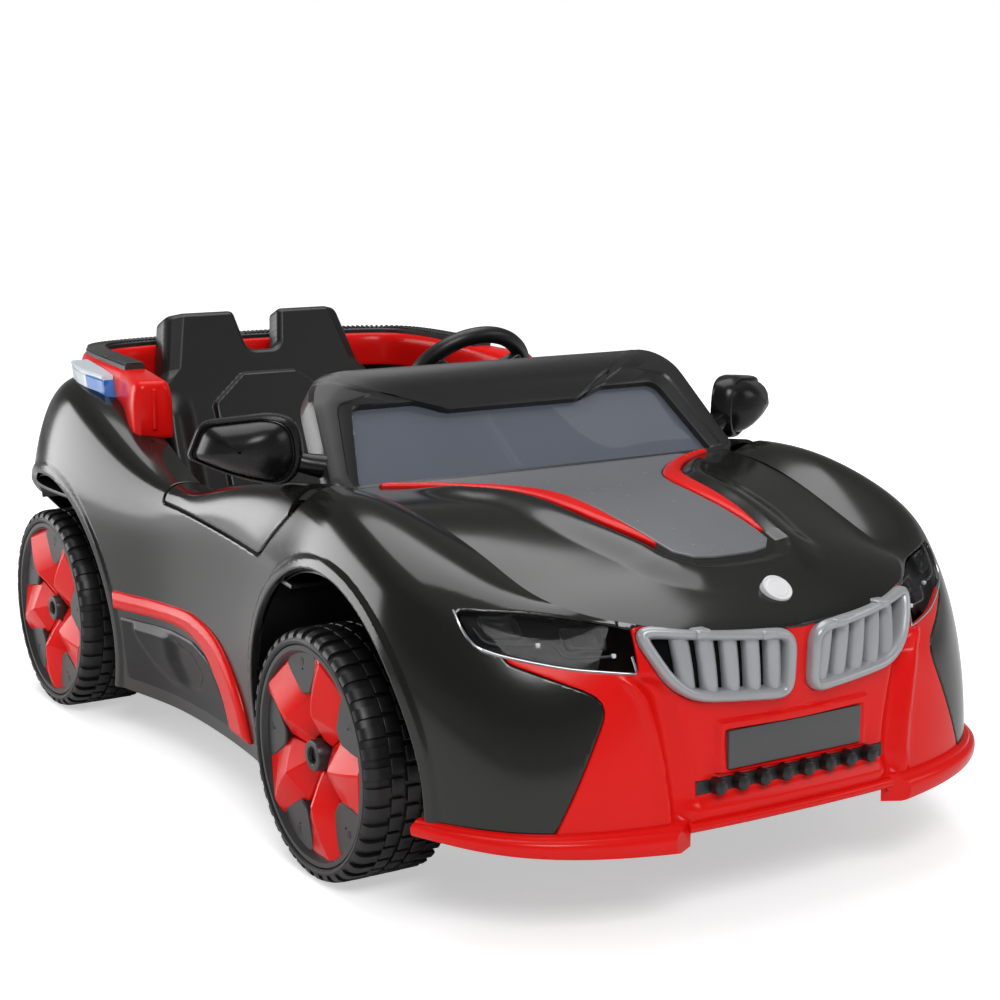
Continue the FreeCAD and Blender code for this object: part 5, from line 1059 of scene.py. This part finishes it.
def by_angle(loop, count, centre):
    """Points of a loop in even steps of direction from a centre, so that two loops match."""
    dense = evenly(loop, 4000)
    angle = np.unwrap(np.arctan2(dense[:, 1] - centre[1], (dense[:, 0] - centre[0]) * 0.35))
    order = np.argsort(angle)
    want = np.linspace(angle[order][0], angle[order][0] + 2 * math.pi, count, endpoint=False)
    return np.stack([np.interp(want, angle[order], dense[order, k]) for k in (0, 1)], 1)


FRAME_SECTION = [(0, -22), (0, -9), (0.05, -3), (0.15, 0), (0.3, 1), (0.58, 0.6), (0.64, -1.6), (0.92, -2.6),
                 (1, -4), (1, -18), (0.5, -24)]
frame_loops = [by_angle(loop, 420, (0, 52)) for loop in (frame_outer, frame_inner)]
screen_frame = ring_moulding(*frame_loops, FRAME_SECTION, on_screen)
piece("screen_frame", *screen_frame, "frame", "car", "frame_black", ["windscreen_frame"], sharp=32)
GLASS_DEEP = 12
glass_shape = drawn_in(frame_inner, -1.0)
glass = panel(
    Flat(screen_foot - screen_out * GLASS_DEEP, X_WAY, screen_up), (-232, 232, 0, 112), (60, 24),
    within(Flat(screen_foot, X_WAY, screen_up).flat, glass_shape), radius=0.3, depth=2)
piece("glass", *glass, "screen", "car", "screen_tint", ["windscreen"])

# Mirrors: a wing-shaped pod with a rim round a domed face, a flat glass behind and a stalk

sweep = math.radians(32.3)
pod_along = np.array([math.cos(sweep), math.sin(sweep), 0])
pod_back = np.array([-math.sin(sweep), math.cos(sweep), 0])
pod_middle = np.array([322, -108, 401.0])
POD_SHAPE = rounded(
    [(60, -10), (45, 27), (-33, 36), (-56, 26), (-63, -16), (-44, -41), (12, -30)],
    (8, 12, 18, 16, 20, 18, 26), 8)
POD = evenly(POD_SHAPE, 72)
POD_LOOPS = [(0.95, 12), (1.0, 8), (1.0, -4), (0.985, -9), (0.95, -12.5), (0.90, -13.2), (0.87, -11.4),
             (0.85, -11.8), (0.82, -15), (0.74, -21), (0.62, -27), (0.46, -32), (0.26, -35.5), (0.03, -36.6)]


def on_pod(flat):
    """Points given as (along the pod, up, towards the driver)."""
    along, up, back = np.asarray(flat, float).T
    return pod_middle + np.outer(along, pod_along) + np.outer(up, Z_WAY) + np.outer(back, pod_back)


pod_points = on_pod([(*(q * share), depth) for share, depth in POD_LOOPS for q in POD])
pod_faces = lattice(len(POD_LOOPS), len(POD), round_cols=True) + [list(range(len(POD)))[::-1]]
stalk_line = smooth_line([(250, -150, 380), (268, -140, 384), (292, -128, 392)], 14)
stalk = tube(stalk_line, np.linspace(13, 9, 14), 16)
mirror_face = on_pod([(*(q * 0.86), 12.4) for q in POD])
both_sides("mirror_pod", together((pod_points, pod_faces), stalk), "pod", "body_gloss", "mirror")
both_sides("mirror_face", (mirror_face, [list(range(len(POD)))]), "mirror_glass", "body_gloss")

# Rear surround: a rounded red wall with a ridged front end, a ribbed black band on top, tail lamps outside

SURROUND = [((257, 267), 352, 424), ((253, 312), 365, 429), ((249, 425), 382.4, 432.4),
            ((242, 510), 388, 434), ((222, 562), 388, 434), ((150, 584), 388, 434),
            ((75, 590), 388, 434), ((0, 590), 388, 434)]


def surround_at(share):
    weights = basis(len(SURROUND), share)
    return tuple(weights @ np.array([row[k] for row in SURROUND], float) for k in range(3))


def wall_ways(middle, shares):
    """Unit steps along and out of the wall in plan."""
    along = np.gradient(middle, shares, axis=0)
    along /= np.linalg.norm(along, axis=1)[:, None]
    across = np.stack([along[:, 1], -along[:, 0]], 1)
    across[-1] = (0, 1)
    return along, across


shares = np.concatenate([np.linspace(0, 0.05, 12, endpoint=False), np.linspace(0.05, 1, 110)])
middle, low, top = surround_at(shares)
along, across = wall_ways(middle, shares)
PROFILE = rounded([(-1, 0), (1, 0), (1, 1), (-1, 1)], (0.1, 0.1, 0.5, 0.5), 8)
run = run_along(middle)
front = 1 - smoothstep(14, 90, run)
nose = np.sqrt(np.maximum(0.0, 1 - (np.maximum(0.0, 10 - run) / 10) ** 2))
points = []
for i in range(len(shares)):
    wide = (20 + 5 * front[i]) * (0.72 + 0.28 * nose[i])
    for s, t in PROFILE:
        lift = (t - 0.5) * (0.82 + 0.18 * nose[i]) + 0.5
        spot = middle[i] + across[i] * (s * wide + 6 * front[i])
        points.append((*spot, low[i] + (top[i] - low[i]) * lift))
faces = lattice(len(shares), len(PROFILE), round_cols=True, back=True) + [list(range(len(PROFILE)))]
end_x = middle[0, 0] + 6
ridge = solid_block((end_x - 3, middle[0, 1] - 3, 366), (end_x + 3, middle[0, 1] + 6, 416), 2.4)
half_wall = together((np.array(points), faces), ridge)
piece("surround", *whole(half_wall), "red", "car", "red_gloss", ["rear_surround"], sharp=50)

BAND = [(-13, -1), (13, -1), (13, 4), (11, 6), (-11, 6), (-13, 4)]
BAND_START, BAND_STEPS, RIB_PITCH = 352, 140, 6.5
band_from = float(np.interp(BAND_START, middle[:60, 1], shares[:60]))
band_shares = np.linspace(band_from, 1, BAND_STEPS)
middle, low, top = surround_at(band_shares)
along, across = wall_ways(middle, band_shares)
points = [(*(middle[i] + across[i] * s), top[i] + h) for i in range(BAND_STEPS) for s, h in BAND]
faces = lattice(BAND_STEPS, len(BAND), round_cols=True, back=True) + [list(range(len(BAND)))]
piece("band", *whole((np.array(points), faces)), "black", "car", "black_matte", ["surround_trim"])
run = run_along(middle)
places = []
for d in np.arange(4, run[-1], RIB_PITCH):
    px, py, tz = (np.interp(d, run, a) for a in (middle[:, 0], middle[:, 1], top))
    ax, ay = (np.interp(d, run, a) for a in (along[:, 0], along[:, 1]))
    for sign in (1, -1):
        places.append(((sign * px, py, tz + 6), (0, 0, math.atan2(ay, sign * ax))))
rib = solid_block((-1.6, -11.5, -1.5), (1.6, 11.5, 2), 0.8)
repeated("band_ribs", rib, places, "black", "car")


def tail_lens(from_y, to_y, low_z, top_z, out, rows=30, inner_x=266):
    """A lens along the outside of the surround, its ends and its height slanting back and up."""
    points = []
    for y in np.linspace(from_y, to_y, rows):
        outer_x = 281 + 9 * smoothstep(375, 425, y) * (1 - 0.6 * smoothstep(440, 480, y)) + out
        rise = 9 * (y - 390) / 80
        section = ((inner_x, low_z), (outer_x - 2, low_z), (outer_x, low_z + 2), (outer_x, top_z - 2),
                   (outer_x - 2, top_z), (inner_x, top_z))
        points += [(x, y + (z - 405) * 0.35, z + rise) for x, z in section]
    return np.array(points), backward(lattice(rows, 6, round_cols=True)) + end_caps(rows, 6)


blue = tail_lens(374, 414, 395, 417, 2.5)
white = together(
    tail_lens(376, 470, 416, 422, 3.0), tail_lens(372, 470, 389, 396, 3.0),
    tail_lens(413, 472, 395, 417, 2.0))
both_sides("tail_blue", blue, "blue_lens", "tail_lens", "tail_lamp")
both_sides("tail_white", white, "white_lens", "tail_lens")

# Seat: cushion and back as moulded panels with bolsters, headrests and a raised middle ridge

rake = math.radians(22.5)
SEAT_FOLD = np.array([0, 420, 206.0])
back_up = np.array([0, math.sin(rake), math.cos(rake)])
BACK_HALF = [(163, 2), (164, 120), (158, 190), (146, 222), (129, 296), (33, 296), (22, 240)]
back_outline = rounded(
    BACK_HALF + [(-x, s) for x, s in BACK_HALF[::-1]],
    (6, 20, 16, 16, 10, 8, 12, 12, 8, 10, 16, 16, 20, 6), 6)
seat_plane = Flat(SEAT_FOLD, X_WAY, back_up)
RIDGE = rounded([(-90, -20), (90, -20), (90, 166), (41, 206), (-41, 206), (-90, 166)], 5)


BACK_BOLSTER, RIDGE_RISE, FACET_FALL = 14, 7, 14
CUSHION_BOLSTER, CUSHION_HOLLOW = 8, 4


def back_relief(p):
    flat = seat_plane.flat(p)
    x, s = np.abs(flat[:, 0]), flat[:, 1]
    bolster = BACK_BOLSTER * smoothstep(116, 150, x) * smoothstep(14, 40, s) * (1 - smoothstep(150, 190, s))
    ridge = RIDGE_RISE * smoothstep(-1.5, 4.5, inside(flat, RIDGE))
    # the outer side of each headrest is a flat facet that falls away
    crest = np.interp(s, [205, 218, 296], [140, 126, 106])
    facet = -FACET_FALL * np.clip((x - crest) / 24, 0, 1) * smoothstep(196, 214, s)
    return bolster + ridge + facet - 4 * (1 - smoothstep(0, 8, inside(flat, back_outline)))


back = panel(
    seat_plane, (-170, 170, 0, 300), (200, 170), within(seat_plane.flat, back_outline), radius=4, depth=26,
    relief=back_relief, lines=(8.0,))
CUSHION_FRONT = np.array([0, 190, 214.0])
fall = SEAT_FOLD - CUSHION_FRONT
cushion_up, _ = slope_ways(math.atan2(fall[2], fall[1]))
cushion_plane = Flat(CUSHION_FRONT, X_WAY, cushion_up)
CUSHION = rounded([(-164, 0), (164, 0), (164, 236), (-164, 236)], (14, 14, 4, 4))


def cushion_relief(p):
    flat = cushion_plane.flat(p)
    x, s = np.abs(flat[:, 0]), flat[:, 1]
    bolster = CUSHION_BOLSTER * smoothstep(124, 150, x) * smoothstep(4, 40, s)
    hollow = -CUSHION_HOLLOW * np.exp(-((x - 78) / 40) ** 2) * smoothstep(20, 80, s)
    return bolster + hollow - 5 * (1 - smoothstep(0, 14, inside(flat, CUSHION)))


cushion = panel(
    cushion_plane, (-168, 168, 0, 240), (120, 90), within(cushion_plane.flat, CUSHION), radius=4, depth=30,
    relief=cushion_relief, lines=(8.0, 14.0))
piece("seat_moulding", *together(back, cushion), "seat", "car", "black_matte", ["seat"], sharp=28)

# Steering wheel, thick padded ring with three flat spokes

RING_RADIUS, RING_THICK, RING_STEPS, RING_SIDES = 78, 10.2, 96, 20
BOSS = [(16.4, -8), (16.4, 0), (18, 1), (27, 0.5), (30, -3), (30, -22), (26, -26), (7.2, -26)]
BOSS_STEPS = 64
column = math.radians(55)
column_up = np.array([0, math.sin(column), math.cos(column)])
column_side = np.array([0, math.cos(column), -math.sin(column)])
wheel_centre = np.array([78, 115, 415.0])
around = [2 * math.pi * k / RING_SIDES for k in range(RING_SIDES)]
ring_profile = [(RING_RADIUS + RING_THICK * math.cos(b), RING_THICK * math.sin(b)) for b in around]
ring_points = turned(ring_profile, wheel_centre, column_side, X_WAY, column_up, RING_STEPS)
wheel_parts = [(ring_points, lattice(RING_STEPS, RING_SIDES, True, True))]
for degrees in (0, 125, -125):
    a = math.radians(degrees)
    radial = math.cos(a) * column_side + math.sin(a) * X_WAY
    aside = np.cross(column_up, radial)
    spoke, faces = solid_block((20, -11, -12), (76, 11, 0), 3)
    points = [wheel_centre + radial * p[0] + aside * p[1] + column_up * p[2] for p in spoke]
    wheel_parts.append((np.array(points), faces))
boss_points = turned(BOSS, wheel_centre, X_WAY, column_side, column_up, BOSS_STEPS)
wheel_parts.append((boss_points, lattice(BOSS_STEPS, len(BOSS), round_rows=True, back=True)))
piece("steering_ring", *together(*wheel_parts), "black", "steering", "black_matte", ["steering_wheel"])

# Wheels: tyre with blocks, dished cover with its floor painted black as shade, flat windows between the arms,
# red star, ringed hub

WHEEL_FACE, TREAD_RADIUS, BLOCKS_ROUND = 350, 121.2, 40
TYRE = [(3, 110), (1.2, 111.5), (0.8, 113.5), (2.4, 116.2), (6, 118.8), (11, 120.6), (16, TREAD_RADIUS),
        (88, TREAD_RADIUS), (93, 119.5), (95, 117.6), (94, 117), (38, 117), (38, 18), (84, 18), (84, 6.05),
        (22, 6.05), (22, 18), (32, 18), (32, 110), (3, 110)]
COVER_LIP = [(31.7, 109.7), (4.2, 109.7), (2.8, 108.2), (2.8, 104), (4.6, 102.4), (21, 95)]
# painted shade: the floor of the dish is coloured black for the shade deep in it, though the cover itself is
# grey
DISH_FLOOR_PAINTED_SHADE = [(21, 95), (22, 94), (22, 16)]
HUB_RING = [(22, 16), (8, 15.5), (6.8, 14.8), (6.4, 13.8), (6.4, 9.6), (7.4, 8.4), (9.6, 8)]
HUB_CENTRE = [(9.6, 8), (10.4, 7), (10.4, 0.2)]
# distance from the hub, half width, depth of the edges, depth of the ridge and its shift to one side
ARM_ROWS = [(17, 12, 20, 17, 0), (30, 21, 18, 9, 0), (48, 33, 15, -2, 2), (62, 33, 12, -3, 5),
            (80, 32, 11, -1, 9), (97, 34, 9.5, 3, 14), (101, 33, 11, 6, 14)]
ARM_COUNT, ARM_SKEW, ARM_FOOT, ARM_REACH = 5, 5, 21, 104
WINDOW = rounded(
    [(60, -8), (60, 8), (76, 22), (92, 34), (101, 24), (104, 0), (101, -24), (92, -34), (76, -22)], 4, 4)
WINDOW_DEPTH = 8.5
WINDOW_LOOPS = [(1.0, 20.0), (1.0, WINDOW_DEPTH + 1.4), (0.94, WINDOW_DEPTH), (0.55, WINDOW_DEPTH),
                (0.05, WINDOW_DEPTH)]
HOLE_RADIUS, HOLE_OUT, HOLE_STEPS = 4, 92, 20
TURN = {"front": 22, "rear": 44}


def star(sign, centre, turn):
    """Five faceted arms with an off-centre ridge, the flat windows between them and a hole in each window."""
    hub = np.array([0, *centre])
    arms, windows, holes = [], [], []

    def at_depth(depth):
        return hub + (sign * (WHEEL_FACE - depth), 0, 0)

    for k in range(ARM_COUNT):
        angle = math.radians(turn + 360 / ARM_COUNT * k)
        aside, radial = slope_ways(angle)
        points = []
        for r, half, edge, high, shift in ARM_ROWS:
            section = ((-half, ARM_FOOT), (-half, edge), (shift - 1.2, high), (shift + 1.2, high),
                       (half, edge), (half, ARM_FOOT))
            for t, depth in section:
                reach = r + ARM_SKEW * t / half * (r > 70)
                points.append(at_depth(depth) + radial * min(reach, ARM_REACH) + aside * t)
        last = 6 * (len(ARM_ROWS) - 1)
        faces = lattice(len(ARM_ROWS), 6) + [[0, 5, 4, 3, 2, 1], [last + c for c in range(6)]]
        arms.append((np.array(points), faces if sign < 0 else backward(faces)))
        cross, mid = slope_ways(angle + math.radians(180 / ARM_COUNT))
        middle = WINDOW.mean(0)
        points = np.array([
            at_depth(d) + mid * q[0] + cross * q[1]
            for s, d in WINDOW_LOOPS for q in middle + (WINDOW - middle) * s])
        faces = lattice(len(WINDOW_LOOPS), len(WINDOW), round_cols=True)
        windows.append((points, faces if sign > 0 else backward(faces)))
        spot = at_depth(WINDOW_DEPTH - 0.3) + mid * HOLE_OUT
        steps = np.linspace(0, 2 * math.pi, HOLE_STEPS, endpoint=False)
        ring = [spot + mid * HOLE_RADIUS * math.cos(b) + cross * HOLE_RADIUS * math.sin(b) for b in steps]
        faces = [list(range(HOLE_STEPS))]
        holes.append((np.array(ring), faces if sign > 0 else backward(faces)))
    return together(*arms), together(*windows), together(*holes)


def softened(name, width, segments=2):
    """Small rounded edges on a finished piece."""
    item = bpy.data.objects[name]
    bm = bmesh.new()
    bm.from_mesh(item.data)
    bmesh.ops.remove_doubles(bm, verts=bm.verts[:], dist=1e-5)
    edges = [e for e in bm.edges if len(e.link_faces) == 2 and e.calc_face_angle(0) > math.radians(25)]
    bmesh.ops.bevel(bm, geom=edges, offset=width * MM, segments=segments, affect="EDGES", profile=0.6)
    bm.to_mesh(item.data)
    bm.free()
    shaded(item.data, 14)


def shoulder_block(sign):
    """A tread block that wraps over the tyre's shoulder, as a prism about the tread's surface."""
    section = [(1.6, -6), (2.2, -2.6), (5, 0.8), (10, 2.7), (15, 3.3), (25, 3.4), (25, -2), (8, -7)]
    n = len(section)
    points = np.array([(-sign * x, t, z) for t in (-5.2, 5.2) for x, z in section])
    faces = lattice(2, n, round_cols=True) + backward(end_caps(2, n))
    return points, faces if sign > 0 else backward(faces)


def tread_places(sign, axle, along, shift):
    """One row of blocks round the tread, so far in from the wheel's face."""
    angles = 2 * math.pi * (np.arange(BLOCKS_ROUND) + shift) / BLOCKS_ROUND
    x = sign * (WHEEL_FACE - along)
    return [
        ((x, axle + TREAD_RADIUS * math.cos(a), HUB_Z + TREAD_RADIUS * math.sin(a)), (a - math.pi / 2, 0, 0))
        for a in angles]


lug = solid_block((-7.0, -7.6, -1), (7.0, 7.6, 3.5), 1.0)
inner_lug = solid_block((-9, -5.2, -1), (9, 5.2, 3.4), 1.0)
for end, axle in (("front", FRONT_AXLE), ("rear", REAR_AXLE)):
    for word, sign in (("left", 1), ("right", -1)):
        name = "%s_%s" % (end, word)
        body = "wheel_" + name
        centre = (axle, HUB_Z)
        tyre = lathe(TYRE, centre, sign, 120)
        piece("tyre_wall_" + name, *tyre, "tyre", body, "tyre_black", ["tyre_" + name])
        lugs = [spot for along, shift in ((33, 0), (50, 0.5), (67, 0))
                for spot in tread_places(sign, axle, along, shift)]
        outer, inner = tread_places(sign, axle, 0, 0.25), tread_places(sign, axle, 84, 0.25)
        repeated("tread_" + name, lug, lugs, "tyre", body)
        repeated("shoulder_" + name, shoulder_block(sign), outer, "tyre", body)
        repeated("shoulder_inner_" + name, inner_lug, inner, "tyre", body)
        for part, profile, steps, look, nodes in (
                ("dish_", COVER_LIP, 96, "rim", ["rim_cover_" + name]),
                # the dish floor gets the black look as painted shade
                ("dish_floor_", DISH_FLOOR_PAINTED_SHADE, 96, "black", ()),
                ("hub_ring_", HUB_RING, 64, "rim", ()), ("hub_centre_", HUB_CENTRE, 64, "vent", ())):
            piece(part + name, *lathe(profile, centre, sign, steps), look, body, "rim_grey", nodes)
        arms, windows, holes = star(sign, centre, TURN[end])
        piece("star_" + name, *arms, "red", body, "red_gloss", ["spokes_" + name], sharp=20)
        softened("star_" + name, 0.7, 1)
        piece("windows_" + name, *windows, "rim", body, "rim_grey")
        piece("holes_" + name, *holes, "black", body, "black_matte")

# Pieces that keep their plain shape, with small rounded edges

PLAIN = {
    "chassis_tub": ("black", 1.2), "dashboard": ("black", 2.5), "battery": ("plate", 2.0),
    "gearboxes": ("black", 2.5), "motors": ("steel", 1.0), "rear_axle": ("steel", 0.5),
    "front_axle": ("steel", 0.8), "steering_shaft": ("steel", 0.6), "horn_button": ("frame", 1.2),
    "knuckle_left": ("steel", 0.8), "knuckle_right": ("steel", 0.8), "axle_nut_left": ("steel", 0.5),
    "axle_nut_right": ("steel", 0.5), "tie_rod": ("steel", 0.5), "pedal": ("black", 1.2),
    "direction_rocker": ("frame", 0.8),
}
for name, (look, width) in PLAIN.items():
    item = NODES[name]
    item.data.materials.clear()
    item.data.materials.append(LOOK[look])
    weld = item.modifiers.new("weld", "WELD")
    weld.merge_threshold = 1e-5
    bevel = item.modifiers.new("edges", "BEVEL")
    bevel.width = width * MM
    bevel.segments = 2
    bevel.limit_method = "ANGLE"
    bevel.angle_limit = math.radians(40)

# Floor, sky, lamps and camera

floor_mesh = bpy.data.meshes.new("floor")
floor_mesh.from_pydata([(-40, -40, 0), (40, -40, 0), (40, 40, 0), (-40, 40, 0)], [], [(0, 1, 2, 3)])
floor = in_scene("floor", floor_mesh)


def pale_floor():
    """A pale floor that keeps its shadow near the part and runs out into white for the rays that are seen."""
    material, tree, shader = new_material("floor_pale")
    filled(shader, Base_Color=(0.9, 0.9, 0.9, 1), Emission_Color=(1, 1, 1, 1))
    filled(shader, Roughness=0.9, Specular_IOR_Level=0.0)
    far = tree.nodes.new("ShaderNodeVectorMath")
    far.operation = "LENGTH"
    tree.links.new(tree.nodes.new("ShaderNodeNewGeometry").outputs["Position"], far.inputs[0])
    glow = ranged(tree, far.outputs["Value"], From_Min=0.6, From_Max=2.4, To_Min=0.5, To_Max=0.9)
    path = tree.nodes.new("ShaderNodeLightPath").outputs
    seen = calculated(tree, "MAXIMUM", path["Is Camera Ray"], path["Is Transmission Ray"])
    tree.links.new(calculated(tree, "MULTIPLY", glow, seen), shader.inputs["Emission Strength"])
    return material


floor_mesh.materials.append(pale_floor())

world = bpy.data.worlds.new("studio")
scene.world = world
world.use_nodes = True
tree = world.node_tree
direction = tree.nodes.new("ShaderNodeTexCoord")
split = tree.nodes.new("ShaderNodeSeparateXYZ")
tree.links.new(direction.outputs["Generated"], split.inputs["Vector"])
ramp = tree.nodes.new("ShaderNodeValToRGB")
ramp.color_ramp.elements[0].position = 0.05
ramp.color_ramp.elements[0].color = (0.35, 0.35, 0.35, 1)
ramp.color_ramp.elements[1].position = 0.12
ramp.color_ramp.elements[1].color = (0.3, 0.3, 0.3, 1)
for height, grey in ((0.25, 0.14), (0.6, 0.13), (0.9, 0.4)):
    ramp.color_ramp.elements.new(height).color = (grey, grey, grey, 1)
tree.links.new(split.outputs["Z"], ramp.inputs["Fac"])
camera_ray = tree.nodes.new("ShaderNodeLightPath").outputs["Is Camera Ray"]
background = tree.nodes["Background"].inputs
tree.links.new(tinted(tree, camera_ray, ramp.outputs["Color"], (1, 1, 1)), background["Color"])
background["Strength"].default_value = 1.0


def aimed(item, place, way):
    """A lamp or camera at a place, looking along a way."""
    item.location = place
    item.rotation_mode = "QUATERNION"
    item.rotation_quaternion = way.to_track_quat("-Z", "Y")


def lamp(name, place, target, energy, wide, tall):
    data = bpy.data.lights.new(name, "AREA")
    data.shape = "RECTANGLE"
    data.size, data.size_y = wide, tall
    data.energy = energy
    aimed(in_scene(name, data), place, Vector(target) - Vector(place))


lamp("key", (-1.4, -3.2, 3.0), (0, -0.1, 0.2), 75, 1.8, 1.4)
lamp("top", (0.2, 0.6, 3.0), (0, 0, 0.2), 50, 2.5, 2.5)
lamp("side", (-2.6, 2.8, 0.9), (-0.3, 0.1, 0.3), 70, 3.0, 1.7)
lamp("fill", (2.8, -2.4, 1.8), (0, -0.1, 0.2), 16, 1.8, 1.4)

camera_data = bpy.data.cameras.new("camera")
camera = in_scene("camera", camera_data)
scene.camera = camera
azimuth, elevation, distance = math.radians(-32.3), math.radians(10.59), 2.272
level = math.cos(elevation)
back_way = Vector((math.sin(azimuth) * level, -math.cos(azimuth) * level, math.sin(elevation)))
aimed(camera, Vector((0, -0.090, 0.311)) + back_way * distance, -back_way)
camera_data.sensor_width = 36
camera_data.lens = 72.73
camera_data.clip_end = 200
scene.view_settings.view_transform = "Standard"
